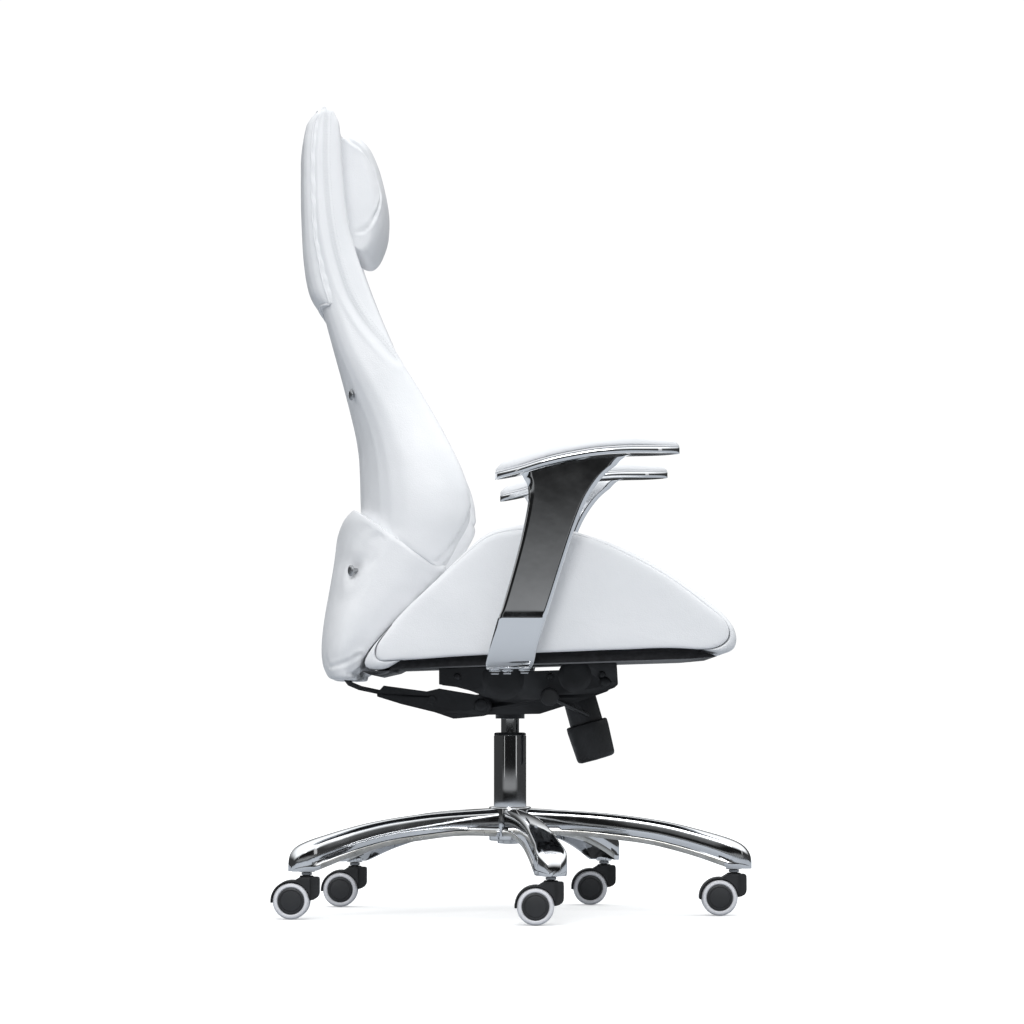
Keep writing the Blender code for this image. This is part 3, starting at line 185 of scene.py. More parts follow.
def rounded(profile, radius, steps=4):
    """The profile with each corner replaced by a short arc-like curve."""
    found = [profile[0]]
    for before, corner, after in zip(profile, profile[1:], profile[2:]):
        a, b, c = (Vector(p) for p in (before, corner, after))
        cut = min(radius, (a - b).length * 0.45, (c - b).length * 0.45)
        start, end = b + (a - b).normalized() * cut, b + (c - b).normalized() * cut
        for i in range(steps + 1):
            t = i / steps
            found.append(tuple((1 - t) ** 2 * start + 2 * t * (1 - t) * b + t * t * end))
    return found + [profile[-1]]


def tube(name, points, radius, material, resolution, closed=False):
    curve = bpy.data.curves.new(name, "CURVE")
    curve.dimensions = "3D"
    curve.bevel_depth = radius
    curve.bevel_resolution = resolution
    curve.use_fill_caps = True
    spline = curve.splines.new("POLY")
    spline.points.add(len(points) - 1)
    for point, position in zip(spline.points, points):
        point.co = (*position, 1)
    spline.use_cyclic_u = closed
    return new_object(name, curve, material)


def fit(obj, body, slot, *nodes):
    """The piece rides on a body and stands for these nodes. The slot is not used."""
    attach(obj, body)
    if nodes:
        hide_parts(*nodes)
    return obj


def lathed(name, profile, corner_r, material, ride, place=Matrix.Identity(4), sides=64):
    """A turned piece with rounded corners. Ride is its body, its slot and the nodes that it stands for."""
    outline = rounded(profile, corner_r)
    if profile[0] == profile[-1]:
        outline.pop()
    return fit(turned(name, outline, material, place, sides), *ride)


def refined(node, material, slot, width):
    """A copy of a hard node with welded faces, rounded edges and smooth round stretches."""
    bm = bmesh.new()
    bm.from_mesh(NODES[node].data)
    bmesh.ops.remove_doubles(bm, verts=bm.verts, dist=1e-5)
    bmesh.ops.dissolve_limit(bm, angle_limit=math.radians(0.6), verts=bm.verts, edges=bm.edges)
    bm.normal_update()
    edges = [e for e in bm.edges if len(e.link_faces) == 2 and e.calc_face_angle() > math.radians(32)]
    bmesh.ops.bevel(bm, geom=edges, offset=width, segments=2, affect="EDGES", clamp_overlap=True)
    return fit(finish_mesh(node + "_finish", bm, material, 40), BODY_OF[node], slot, node)


# ---------------------------------------------------------------- materials

def add_node(tree, kind, inputs, **settings):
    """A shader node. Each input is a number, a colour or another node's socket."""
    node = tree.nodes.new("ShaderNode" + kind)
    for key, value in settings.items():
        setattr(node, key, value)
    for key, value in inputs.items():
        if isinstance(value, bpy.types.NodeSocket):
            tree.links.new(value, node.inputs[key])
        else:
            node.inputs[key].default_value = value
    return node


NOISE_RANGE = (0.3, 0.7)  # the part of a noise's range that its colours and roughness spread over


class Surface:
    """A Principled material whose textures read the piece's own coordinates, in metres."""

    def __init__(self, name, metallic=0.0, **sockets):
        self.material = bpy.data.materials.new(name)
        self.material.use_nodes = True
        self.tree = self.material.node_tree
        self.shader = self.tree.nodes["Principled BSDF"]
        self.shader.inputs["Metallic"].default_value = metallic
        for socket, value in sockets.items():
            self.shader.inputs[socket.replace("_", " ").title().replace("Ior", "IOR")].default_value = value
        self.coordinates = self.tree.nodes.new("ShaderNodeTexCoord").outputs["Object"]
        self.height = None

    def node(self, kind, inputs, **settings):
        return add_node(self.tree, kind, inputs, **settings)

    def noise(self, scale, detail, stretch=None):
        vector = self.coordinates
        if stretch:
            vector = self.node("Mapping", {"Vector": vector, "Scale": stretch}).outputs["Vector"]
        return self.node("TexNoise", {"Vector": vector, "Scale": scale, "Detail": detail}).outputs["Fac"]

    def cells(self, scale, feature):
        return self.node("TexVoronoi", {"Vector": self.coordinates, "Scale": scale},
                         feature=feature).outputs["Distance"]

    def colour(self, source, low, high):
        ramp = self.node("ValToRGB", {"Fac": source})
        for element, position, value in zip(ramp.color_ramp.elements, NOISE_RANGE, (low, high)):
            element.position = position
            element.color = (*value, 1.0)
        self.tree.links.new(ramp.outputs["Color"], self.shader.inputs["Base Color"])

    def roughness(self, source, low, high):
        spread = self.node("MapRange", {"Value": source, "From Min": NOISE_RANGE[0], "From Max": NOISE_RANGE[1],
                                        "To Min": low, "To Max": high})
        self.tree.links.new(spread.outputs["Result"], self.shader.inputs["Roughness"])

    def bump(self, source, distance, strength):
        """Adds a layer of relief on top of those already there."""
        inputs = {"Height": source, "Distance": distance, "Strength": strength}
        if self.height:
            inputs["Normal"] = self.height
        self.height = self.node("Bump", inputs).outputs["Normal"]
        self.tree.links.new(self.height, self.shader.inputs["Normal"])


def finish(name, colour, roughness, relief, metallic=0.0, **sockets):
    """A material of three kinds of layer.

    Colour is (scale, detail, low, high) and roughness (scale, detail, low, high), each over a noise.
    Relief is a list of (scale, detail, distance, strength). Where "cells" stands for the detail, small
    pebbles take the noise's place. A fifth item is the stretch along the axes.
    """
    s = Surface(name, metallic, **sockets)
    scale, detail, low, high, *stretch = colour
    s.colour(s.noise(scale, detail, *stretch), low, high)
    scale, detail, low, high = roughness
    s.roughness(s.noise(scale, detail), low, high)
    for scale, detail, distance, strength, *stretch in relief:
        source = s.cells(scale, stretch[0]) if detail == "cells" else s.noise(scale, detail, *stretch)
        s.bump(source, distance, strength)
    return s.material


def times(share, colour):
    return [share * c for c in colour]


def nylon(name, low, high, grain):
    """Moulded nylon with a spark-eroded grain."""
    return finish(name, (25.0, 4.0, low, high), (60.0, 3.0, 0.4, 0.58),
                  [(grain, 2.0, 0.00012, 0.5), (grain * 0.7, "cells", 0.00006, 0.4, "F1")],
                  specular_ior_level=0.45)


PLATE = (0.86, 0.87, 0.885)
CAST_PLATE = (0.84, 0.85, 0.865)

# corrected-grain hide: small pebbles, fine pores and a soft uneven sheen
LEATHER = finish("leather_white", (9.0, 4.0, (0.825, 0.835, 0.85), (0.865, 0.87, 0.885)), (26.0, 3.0, 0.36, 0.5),
                 [(55.0, 4.0, 0.0012, 0.35), (640.0, "cells", 0.00035, 0.55, "SMOOTH_F1"),
                  (2300.0, 2.0, 0.0001, 0.4)],
                 coat_weight=0.12, coat_roughness=0.35, specular_ior_level=0.45)
# bright plating with a faint haze and the slight waviness of polished metal
CHROME = finish("chrome_plate", (14.0, 3.0, times(0.96, PLATE), PLATE), (22.0, 5.0, 0.025, 0.075),
                [(30.0, 2.0, 0.0004, 0.06)], 1.0)
# a plated casting is wavier than drawn tube
BASE_CHROME = finish("chrome_casting", (10.0, 3.0, times(0.93, CAST_PLATE), CAST_PLATE), (35.0, 5.0, 0.03, 0.11),
                     [(42.0, 2.0, 0.0006, 0.12)], 1.0)
STEEL = finish("zinc_steel", (60.0, 4.0, (0.34, 0.35, 0.36), (0.46, 0.47, 0.48)), (120.0, 3.0, 0.24, 0.42),
               [(900.0, 2.0, 0.00005, 0.3, (1, 1, 12))], 1.0)
# plating over a casting's unpolished edge, with short marks across it from the trimming tool
ROUGH_CASTING = finish("rough_casting", (30.0, 4.0, (0.5, 0.49, 0.46), (0.78, 0.77, 0.74)),
                       (90.0, 3.0, 0.26, 0.42), [(160.0, 3.0, 0.0004, 0.25, (1, 1, 0.15))], 1.0)
# black powder coat with orange peel
BLACK_STEEL = finish("black_powder_coat", (18.0, 5.0, (0.01, 0.0105, 0.0115), (0.024, 0.025, 0.027)),
                     (40.0, 4.0, 0.34, 0.52), [(420.0, 2.0, 0.00016, 0.5)], specular_ior_level=0.5)
BLACK_PLASTIC = nylon("black_nylon", (0.012, 0.0125, 0.0135), (0.021, 0.022, 0.024), 1100.0)
HUB_PLASTIC = nylon("wheel_cap_nylon", (0.02, 0.021, 0.023), (0.032, 0.033, 0.036), 700.0)
# non-woven dust cover: fine crossed threads under a faint fuzz
CLOTH = finish("black_dust_cover", (90.0, 5.0, (0.008, 0.008, 0.009), (0.021, 0.021, 0.023)),
               (70.0, 2.0, 0.8, 0.95),
               [(1500.0, 1.0, 0.00016, 0.6, (1.0, 0.05, 1.0)), (1500.0, 1.0, 0.00016, 0.6, (0.05, 1.0, 1.0))],
               sheen_weight=0.35, sheen_roughness=0.5, specular_ior_level=0.2)
# tyre rubber, faintly scuffed round its running surface
TREAD = finish("white_polyurethane", (110.0, 5.0, (0.76, 0.76, 0.79), (0.84, 0.84, 0.87)), (80.0, 4.0, 0.34, 0.55),
               [(260.0, 3.0, 0.00012, 0.4)], specular_ior_level=0.4)
PLYWOOD = finish("moulded_plywood", (8.0, 6.0, (0.42, 0.28, 0.16), (0.62, 0.45, 0.27), (9.0, 1.0, 0.6)),
                 (30.0, 3.0, 0.55, 0.75), [(60.0, 4.0, 0.0003, 0.5, (14.0, 2.0, 0.8))])
THREAD = finish("white_thread", (300.0, 2.0, (0.78, 0.785, 0.8), (0.86, 0.865, 0.88)), (200.0, 2.0, 0.55, 0.7),
                [(2600.0, 2.0, 0.0002, 0.7, (1.0, 1.0, 0.3))], specular_ior_level=0.3)


# ---------------------------------------------------------------- camera, stage and light

CAMERA_AT = (-6.34, -0.063, 0.307)
CAMERA_AIM = (0.0, -0.003, 0.621)
CAMERA_LENS = 143.8
FLOOR_R = 7.0
SKY_STRENGTH = 1.3
SKY_RISE = (0.16, 0.52, 0.045)  # the heights between which the sky brightens, and its strength below them
HORIZON_GLOW = 0.25
RIGHT_SHADE = 0.034  # how much darker the sky is on the chair's right
REFLECTED_FLOOR = (0.38, 0.4, 0.43, 1.0)
LIGHTS = (("overhead_box", (-0.6, -0.9, 3.4), 0.5, (2.6, 2.6), 16.0),
          ("front_strip", (-2.9, -3.0, 1.3), 0.7, (0.5, 1.9), 1.6),
          ("rear_strip", (-3.3, 2.7, 1.2), 0.6, (0.35, 1.7), 0.8),
          ("side_box", (-4.2, 0.5, 3.1), 0.75, (1.8, 1.8), 68.0))  # place, aim's height, size and watts


def aimed(name, data, at, aim):
    obj = linked(name, data)
    obj.location = at
    obj.rotation_euler = (Vector(aim) - Vector(at)).to_track_quat("-Z", "Y").to_euler()
    return obj


def make_camera():
    data = bpy.data.cameras.new("camera")
    data.lens = CAMERA_LENS
    data.sensor_width = 36.0
    data.dof.use_dof = False
    bpy.context.scene.camera = aimed("camera", data, CAMERA_AT, CAMERA_AIM)


def make_floor():
    """A seamless floor, white to the camera and darker in reflections and bounced light."""
    s = Surface("pale_floor", specular_ior_level=0.1)
    s.colour(s.noise(0.4, 2.0), (0.9, 0.9, 0.9), (0.92, 0.92, 0.92))
    s.roughness(s.noise(3.0, 2.0), 0.75, 0.85)
    s.shader.inputs["Emission Color"].default_value = (1.0, 1.0, 1.0, 1.0)
    s.shader.inputs["Emission Strength"].default_value = 0.34
    dim = s.node("BsdfDiffuse", {"Color": REFLECTED_FLOOR})
    seen = s.node("LightPath", {}).outputs["Is Camera Ray"]
    mix = s.node("MixShader", {0: seen, 1: dim.outputs[0], 2: s.shader.outputs[0]})
    s.tree.links.new(mix.outputs[0], s.tree.nodes["Material Output"].inputs["Surface"])
    bm = bmesh.new()
    bmesh.ops.create_circle(bm, cap_ends=True, segments=96, radius=FLOOR_R)
    floor = finish_mesh("floor", bm, s.material)
    floor.location.z = -0.0006


def make_world():
    """A white studio to the camera. To reflections and light it is bright overhead and dark round the horizon."""
    world = bpy.data.worlds.new("studio")
    bpy.context.scene.world = world
    world.use_nodes = True
    tree = world.node_tree
    tree.nodes.clear()

    def node(kind, inputs, **settings):
        return add_node(tree, kind, inputs, **settings)

    def ranged(source, low, high, to_low, to_high):
        return node("MapRange", {"Value": source, "From Min": low, "From Max": high, "To Min": to_low,
                                 "To Max": to_high}, interpolation_type="SMOOTHSTEP").outputs["Result"]

    def maths(operation, a, b):
        return node("Math", {0: a, 1: b}, operation=operation).outputs[0]

    split = node("SeparateXYZ", {0: node("TexCoord", {}).outputs["Generated"]})
    across, up = split.outputs["X"], split.outputs["Z"]
    start, end, low = SKY_RISE
    sky = ranged(up, start, end, low, SKY_STRENGTH)
    right = ranged(across, -0.85, -0.45, 1.0, 0.0)
    glow = maths("MULTIPLY", ranged(up, -0.004, 0.008, 0.0, HORIZON_GLOW), ranged(up, 0.02, 0.062, 1.0, 0.0))
    shade = ranged(right, 0.0, 1.0, 0.0, RIGHT_SHADE)
    strength = maths("ADD", maths("SUBTRACT", sky, shade), maths("MULTIPLY", right, glow))
    lighting = node("Background", {"Color": (0.965, 0.985, 1.0, 1.0), "Strength": strength})
    backdrop = node("Background", {"Color": (1.0, 1.0, 1.0, 1.0), "Strength": 1.05})
    seen = node("LightPath", {}).outputs["Is Camera Ray"]
    mix = node("MixShader", {0: seen, 1: lighting.outputs[0], 2: backdrop.outputs[0]})
    node("OutputWorld", {"Surface": mix.outputs[0]})


def make_lights():
    for name, at, aim_z, size, power in LIGHTS:
        data = bpy.data.lights.new(name, "AREA")
        data.shape = "RECTANGLE"
        data.size, data.size_y = size
        data.energy = power
        aimed(name, data, at, (0.0, 0.0, aim_z))


# ---------------------------------------------------------------- soft work

def solid_tree(*nodes):
    """The surface of frame solids, to cast rays onto."""
    points, faces = [], []
    for node in nodes:
        mesh = NODES[node].data
        base = len(points)
        points += [v.co.copy() for v in mesh.vertices]
        faces += [[base + i for i in p.vertices] for p in mesh.polygons]
    return BVHTree.FromPolygons(points, faces)


def piece_tree(obj):
    mesh = obj.data
    return BVHTree.FromPolygons([v.co.copy() for v in mesh.vertices], [list(p.vertices) for p in mesh.polygons])


def stadium(half_length, straight, bend):
    """Places along a spine and directions away from it, once round. Each is (along, (a, b))."""
    found = []
    for end in (-1.0, 1.0):
        found += [(-end * half_length * (1 - 2 * i / straight), (0.0, end)) for i in range(straight)]
        angles = [math.pi * i / bend for i in range(bend)]
        found += [(end * half_length, (end * math.sin(angle), end * math.cos(angle))) for angle in angles]
    return found


def bend_middle(straight, bend):
    """The stadium's point in the middle of its first bend, where a ladder of faces may start."""
    return straight + bend // 2


def cast(tree, origin, direction, reach=0.7):
    """Where a ray from outside towards the origin first meets the solid, or the origin."""
    direction = Vector(direction)
    hit = tree.ray_cast(Vector(origin) + direction * reach, -direction, reach)[0]
    return hit if hit is not None else Vector(origin)


def vectors(items, attribute):
    values = np.empty(len(items) * 3, np.float32)
    items.foreach_get(attribute, values)
    return values.reshape(-1, 3).astype(float)


def vertices_of(obj):
    return vectors(obj.data.vertices, "co")


def set_vertices(obj, points):
    obj.data.vertices.foreach_set("co", np.asarray(points, np.float32).ravel())
    obj.data.update()


def puff(obj, held, pressure, most):
    """Swells the piece as pressurised cloth. Held vertices stay put, and none moves further than most."""
    group = obj.vertex_groups.new(name="held")
    group.add([int(i) for i in np.nonzero(held)[0]], 1.0, "REPLACE")
    frames, stiffness = 16, 18.0
    cloth = obj.modifiers.new("Cloth", "CLOTH")
    settings = cloth.settings
    settings.vertex_group_mass = group.name
    settings.quality = 4
    settings.mass = 0.35
    settings.tension_stiffness = settings.compression_stiffness = stiffness
    settings.shear_stiffness = stiffness * 0.6
    settings.bending_stiffness = 0.8
    settings.use_pressure = True
    settings.uniform_pressure_force = pressure
    settings.effector_weights.gravity = 0.0
    cloth.point_cache.frame_start = 1
    cloth.point_cache.frame_end = frames
    before = vertices_of(obj)
    scene = bpy.context.scene
    for frame_number in range(1, frames + 1):
        scene.frame_set(frame_number)
    mesh = obj.evaluated_get(bpy.context.evaluated_depsgraph_get()).data
    move = vectors(mesh.vertices, "co") - before
    far = np.linalg.norm(move, axis=1, keepdims=True)
    obj.modifiers.remove(cloth)
    obj.vertex_groups.remove(group)
    set_vertices(obj, before + move * np.minimum(1.0, most / np.maximum(far, 1e-9)))
    scene.frame_set(1)


def applied(obj):
    """Makes the modifiers' result the piece's own mesh."""
    bpy.context.view_layer.update()
    mesh = bpy.data.meshes.new_from_object(obj.evaluated_get(bpy.context.evaluated_depsgraph_get()))
    obj.modifiers.clear()
    obj.data = mesh


def denser(obj, levels=1):
    modifier = obj.modifiers.new("Subdivision", "SUBSURF")
    modifier.levels = modifier.render_levels = levels
    applied(obj)
    obj.data.shade_smooth()


def distance_to(points, paths):
    """Each point's distance to the nearest of the paths."""
    path = np.vstack([evenly(p, 0.0015) for p in paths])
    tree = KDTree(len(path))
    for i, point in enumerate(path):
        tree.insert(point, i)
    tree.balance()
    return np.array([tree.find(point)[2] for point in points])


def crease(obj, paths, width, depth, shoulder=0.3):
    """Sinks a sewn line into the piece, with the leather standing a little proud beside it."""
    points = vertices_of(obj)
    d = distance_to(points, paths)
    sink = -depth * np.exp(-(d / width) ** 2) + shoulder * depth * np.exp(-((d - 2.4 * width) / width) ** 2)
    set_vertices(obj, points + vectors(obj.data.vertex_normals, "vector") * sink[:, None])


def everywhere(points):
    return np.ones(len(points))


def ripple(obj, height, scale, stretch=(1.0, 1.0, 1.0), mask=everywhere, offset=0.0):
    """Soft wrinkles. The mask takes the points and gives each one's share of the height."""
    points = vertices_of(obj)
    share = mask(points)
    wave = np.zeros(len(points))
    for i in np.nonzero(share > 0.01)[0]:
        x, y, z = points[i]
        wave[i] = noise.noise(Vector((x * stretch[0], y * stretch[1], z * stretch[2])) * scale
                              + Vector((offset, offset, 0.0)))
    set_vertices(obj, points + vectors(obj.data.vertex_normals, "vector") * (height * share * wave)[:, None])


def near(paths, reach):
    """A mask that falls from 1 on the paths to 0 at the reach."""
    def mask(points):
        share = np.clip(1 - distance_to(points, paths) / reach, 0, 1)
        return share * share * (3 - 2 * share)
    return mask


def laid(tree, points, direction, reach=0.7):
    """A path's points dropped onto the surface along a direction."""
    direction = Vector(direction)
    hits = [tree.ray_cast(Vector(point) - direction * reach, direction, 2 * reach)[0] for point in points]
    return np.array([tuple(hit) for hit in hits if hit is not None])


def side_lines(tree, yz):
    """A smooth line through (y, z) points, laid on each side of the piece."""
    points = [(0.0, y, z) for y, z in through(yz, 8)]
    return [laid(tree, points, (-side, 0.0, 0.0)) for side, _ in SIDES]


def stitches(name, tree, paths, body):
    """Thread lying on the leather, one small spindle for each stitch."""
    pitch, length, radius = 0.0046, 0.0031, 0.00042
    bm = bmesh.new()
    for path in paths:
        points = evenly(path, pitch)
        for a, b in zip(points, points[1:]):
            middle, normal, _, _ = tree.find_nearest(Vector((a + b) / 2))
            along = Vector(b - a).normalized()
            across = along.cross(normal).normalized()
            up = across.cross(along)
            rings = []
            for share, size in ((-0.36, 0.8), (0.0, 1.0), (0.36, 0.8)):
                centre = middle + along * (length * share) + up * (radius * 0.35)
                rings.append([bm.verts.new(centre + (across * math.cos(t) + up * math.sin(t)) * radius * size)
                              for t in (0.0, math.pi / 2, math.pi, 3 * math.pi / 2)])
            tips = [bm.verts.new(middle + along * (length * s) - up * radius * 0.3) for s in (-0.5, 0.5)]
            for low, high in zip(rings, rings[1:]):
                for i in range(4):
                    bm.faces.new((low[i], low[(i + 1) % 4], high[(i + 1) % 4], high[i]))
            for ring, tip in ((rings[0], tips[0]), (rings[-1], tips[1])):
                for i in range(4):
                    bm.faces.new((ring[i], ring[(i + 1) % 4], tip))
    fit(finish_mesh(name, bm, THREAD, 180), body, "white_leather")


def cushion(obj, body, fill, *nodes):
    fit(obj, body, "white_leather", *nodes)


def beside(tree, path, gap, towards):
    """The path moved sideways over the surface, to the side that the vector points to."""
    found = []
    for point, step in zip(path, np.gradient(path, axis=0)):
        normal = tree.find_nearest(Vector(point))[1]
        across = Vector(step).cross(normal).normalized()
        if across.dot(Vector(towards)) < 0:
            across = -across
        found.append(tuple(tree.find_nearest(Vector(point) + across * gap)[0]))
    return np.array(found)


# ---------------------------------------------------------------- seat

PANEL_EDGE = [(0.186, 0.3862), (0.195, 0.3872), (0.199, 0.393), (0.1985, 0.404), (0.193, 0.416),
              (0.167, 0.446), (0.142, 0.473), (0.095, 0.516), (0.05, 0.556), (0.023, 0.5735),
              (-0.019, 0.5815), (-0.06, 0.58), (-0.1, 0.5735), (-0.146, 0.559), (-0.231, 0.515),
              (-0.295, 0.468), (-0.32, 0.447), (-0.329, 0.43), (-0.3265, 0.416), (-0.312, 0.4065),
              (-0.291, 0.4035), (-0.23, 0.406), (-0.1, 0.401), (0.05, 0.395), (0.14, 0.389)]
SEAT_FLAT_X = 0.252
SEAT_ROLL_R = 0.0155
SEAT_SPINE_Z = 0.445
SEAT_SPINE = (0.115, -0.255)  # its rear and front ends, as y
SEAT_COLUMNS = (56, 34)  # a stadium's points along each straight and round each bend
SEAT_SEAM_X = 0.163
SEAT_CHANNELS_Y = (0.02, -0.065, -0.15, -0.235)


def prism_tree(outline):
    """An endless wall along X over a closed (y, z) outline."""
    count = len(outline)
    points = [(x, y, z) for x in (-1.0, 1.0) for y, z in outline]
    faces = [(i, (i + 1) % count, count + (i + 1) % count, count + i) for i in range(count)]
    return BVHTree.FromPolygons([Vector(p) for p in points], faces)


def make_seat():
    solid = solid_tree("seat_cushion")
    edge = through(PANEL_EDGE, 6, closed=True)
    edge_tree = prism_tree(edge)
    rear, front = SEAT_SPINE
    around = stadium((rear - front) / 2, *SEAT_COLUMNS)
    flat = [(x, 0.0) for x in np.linspace(0.0, SEAT_FLAT_X, 44)]
    roll = [(SEAT_FLAT_X + SEAT_ROLL_R * math.sin(a), 1 - math.cos(a)) for a in np.radians(np.linspace(12, 84, 7))]
    groove = [(SEAT_FLAT_X + SEAT_ROLL_R - 0.0015, 1.0), (SEAT_FLAT_X + SEAT_ROLL_R - 0.006, 1.06),
              (SEAT_FLAT_X + 0.002, 1.1)]
    half = flat + roll + groove
    stations = [(-x, f) for x, f in reversed(half)] + half[1:]
    grid = np.zeros((len(stations), len(around), 3))
    for row, (x, share) in enumerate(stations):
        section_x = max(min(x, SEAT_FLAT_X - 0.004), 0.004 - SEAT_FLAT_X)
        for column, (along, (a, b)) in enumerate(around):
            origin = (section_x, (rear + front) / 2 + along, SEAT_SPINE_Z)
            skin = cast(solid, origin, (0.0, a, b))
            if share:
                skin = skin.lerp(cast(edge_tree, origin, (0.0, a, b)), share)
            grid[row, column] = (x, skin.y, skin.z)
    rolled = len(roll) + len(groove)
    grid[rolled:-rolled] = smooth_grid(grid[rolled:-rolled], 3)
    seat = grid_piece("seat_cushion_leather", grid, LEATHER, turn=bend_middle(*SEAT_COLUMNS))
    seams = seat_seams(piece_tree(seat))
    points = vertices_of(seat)
    held = (distance_to(points, seams) < 0.008) | (points[:, 2] < 0.43) | (np.abs(points[:, 0]) > 0.235)
    puff(seat, held, 3.2, 0.012)
    denser(seat)
    seams = seat_seams(piece_tree(seat))
    crease(seat, seams, 0.0042, 0.0058)
    ripple(seat, 0.0016, 55.0, (1.0, 0.25, 1.0), near(seams, 0.03))
    ripple(seat, 0.0022, 9.0, mask=lambda p: (p[:, 2] > 0.44).astype(float), offset=3.0)
    cushion(seat, "seat", 0.8, "seat_cushion")
    tree = piece_tree(seat)
    lines = [beside(tree, seam, gap, (side, 0, 0)) for side, seam in zip((-1, 1), seams[:2])
             for gap in (0.0065, 0.0105)]
    lines += [beside(tree, seam, 0.0065, (0, direction, 0)) for seam in seams[2:] for direction in (-1, 1)]
    stitches("seat_stitching", tree, lines, "seat")
    for side, word in SIDES:
        make_seat_panel(side, word, edge)


def seat_seams(tree):
    """The long seams beside the sitter, and the channels between them."""
    low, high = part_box("seat_cushion")
    ys = np.linspace(low.y + 0.012, 0.125, 60)
    seams = [laid(tree, [(side * SEAT_SEAM_X, y, 0.5) for y in ys], (0, 0, -1)) for side in (-1, 1)]
    xs = np.linspace(-SEAT_SEAM_X, SEAT_SEAM_X, 50)
    for y in SEAT_CHANNELS_Y:
        seams.append(laid(tree, [(x, y - 0.25 * x * x, 0.5) for x in xs], (0, 0, -1)))
    return seams


def make_seat_panel(side, word, edge):
    """The padded side panel that sits in the wrap cushion's edge."""
    centre = np.array([-0.05, 0.455])
    profile = [(0.965, -0.001), (0.985, 0.004), (1.0, 0.01), (1.0045, 0.0138), (1.002, 0.0158), (0.994, 0.0174),
               (0.978, 0.0187), (0.95, 0.0196), (0.89, 0.0202), (0.8, 0.0206), (0.7, 0.0209), (0.55, 0.0211),
               (0.4, 0.0212), (0.25, 0.0213), (0.12, 0.0213), (0.03, 0.0213)]
    ring = evenly(np.vstack([edge, edge[:1]]), 0.0065)[:-1]
    low = np.clip((0.445 - ring[:, 1]) / 0.03, 0, 1)
    corner = np.clip((np.abs(ring[:, 0] + 0.06) - 0.19) / 0.03, 0, 1)
    ring = (ring - centre) * (1 - 0.014 * (low * corner)[:, None])
    rows = [[(side * (SEAT_FLAT_X + out), y, z) for y, z in centre + ring * scale] for scale, out in profile]
    panel = grid_piece(f"seat_side_panel_{word}", rows, LEATHER)
    denser(panel)
    ripple(panel, 0.0016, 14.0, mask=lambda p: (np.abs(p[:, 0]) > 0.269).astype(float), offset=7.0)
    cushion(panel, "seat", 0.9)


# ---------------------------------------------------------------- back

SPINE_Y = smooth_curve([(0.35, 0.25), (0.45, 0.222), (0.52, 0.185), (0.6, 0.16), (0.7, 0.178),
                        (0.8, 0.211), (0.9, 0.245), (1.00, 0.272), (1.1, 0.282), (1.2314, 0.2785)])
SPINE_HALF = smooth_curve([(0.35, 0.185), (0.52, 0.19), (0.62, 0.195), (0.8, 0.168), (0.95, 0.163),
                           (1.2314, 0.15)])
UPPER_COLUMNS = (46, 30)
LOWER_COLUMNS = (40, 26)
SEAM_REAR = (0.2226, 0.6085)
SEAM_FRONT = (0.098, 0.522)
FOLD = [(0.281, 1.226), (0.2835, 1.205), (0.284, 1.15), (0.281, 1.098), (0.2745, 1.043), (0.264, 0.995),
        (0.247, 0.944), (0.221, 0.899), (0.196, 0.868), (0.17, 0.838)]
WELT = [(0.066, 0.668), (0.0575, 0.64), (0.056, 0.622), (0.061, 0.6), (0.075, 0.572), (0.096, 0.545),
        (0.107, 0.534)]
PILLOW_COLUMNS = (22, 14)
GUSSET = [(0.251, 1.192), (0.241, 1.183), (0.224, 1.17), (0.2105, 1.147), (0.2015, 1.118), (0.1985, 1.096),
          (0.204, 1.072), (0.214, 1.054), (0.2265, 1.043)]  # the seam round each end of the pillow
LOWER_HEM = [(0.228, 0.372), (0.2, 0.403), (0.17, 0.44), (0.145, 0.468), (0.115, 0.499)]
LOWER_BOTTOM = [(0.27, 0.378), (0.245, 0.384), (0.222, 0.396)]


def seam_height(y):
    return SEAM_FRONT[1] + (y - SEAM_FRONT[0]) * (SEAM_REAR[1] - SEAM_FRONT[1]) / (SEAM_REAR[0] - SEAM_FRONT[0])


def closer_at_ends(count):
    even = np.linspace(0, 1, count)
    return even - 0.125 * np.sin(2 * math.pi * even)


def pressed(grid, tree, direction, gap, reach):
    """Moves the side parts of a cushion towards another one until they almost touch."""
    for point in grid.reshape(-1, 3):
        place, _, _, away = tree.ray_cast(Vector(point), direction, reach)
        if place is not None and away > gap:
            near_side = clamped((abs(point[0]) - 0.09) / 0.06)
            point += np.array(direction) * (away - gap) * near_side * min(1.0, 2.5 * (1 - away / reach))
    return grid


def back_grid(tree, low_rule, high_rule, rows, columns):
    """Points on the back's solid, between two rules.

    A rule is a height, or a height on the solid, one off it and an offset from the seam.
    """
    around = stadium(1.0, *columns)
    grid = np.zeros((rows, len(around), 3))
    for column, (along, (a, b)) in enumerate(around):
        def spine(z):
            return Vector((along * float(SPINE_HALF(z)), float(SPINE_Y(z)), z))

        def skin(z):
            return cast(tree, spine(z), (a, b, 0.0))

        def limit(rule):
            if isinstance(rule, float):
                return rule
            start, beyond, offset = rule
            last = start
            for _ in range(12):
                middle = (last + beyond) / 2
                if (skin(middle) - spine(middle)).length > 1e-5:
                    last = middle
                else:
                    beyond = middle
            z = start
            for _ in range(14):
                z = min(max(0.5 * z + 0.5 * (seam_height(skin(z).y) + offset), min(start, last)), max(start, last))
            return z
        low, high = limit(low_rule), limit(high_rule)
        for row, share in enumerate(closer_at_ends(rows)):
            grid[row, column] = skin(low + (high - low) * float(share))
    return grid


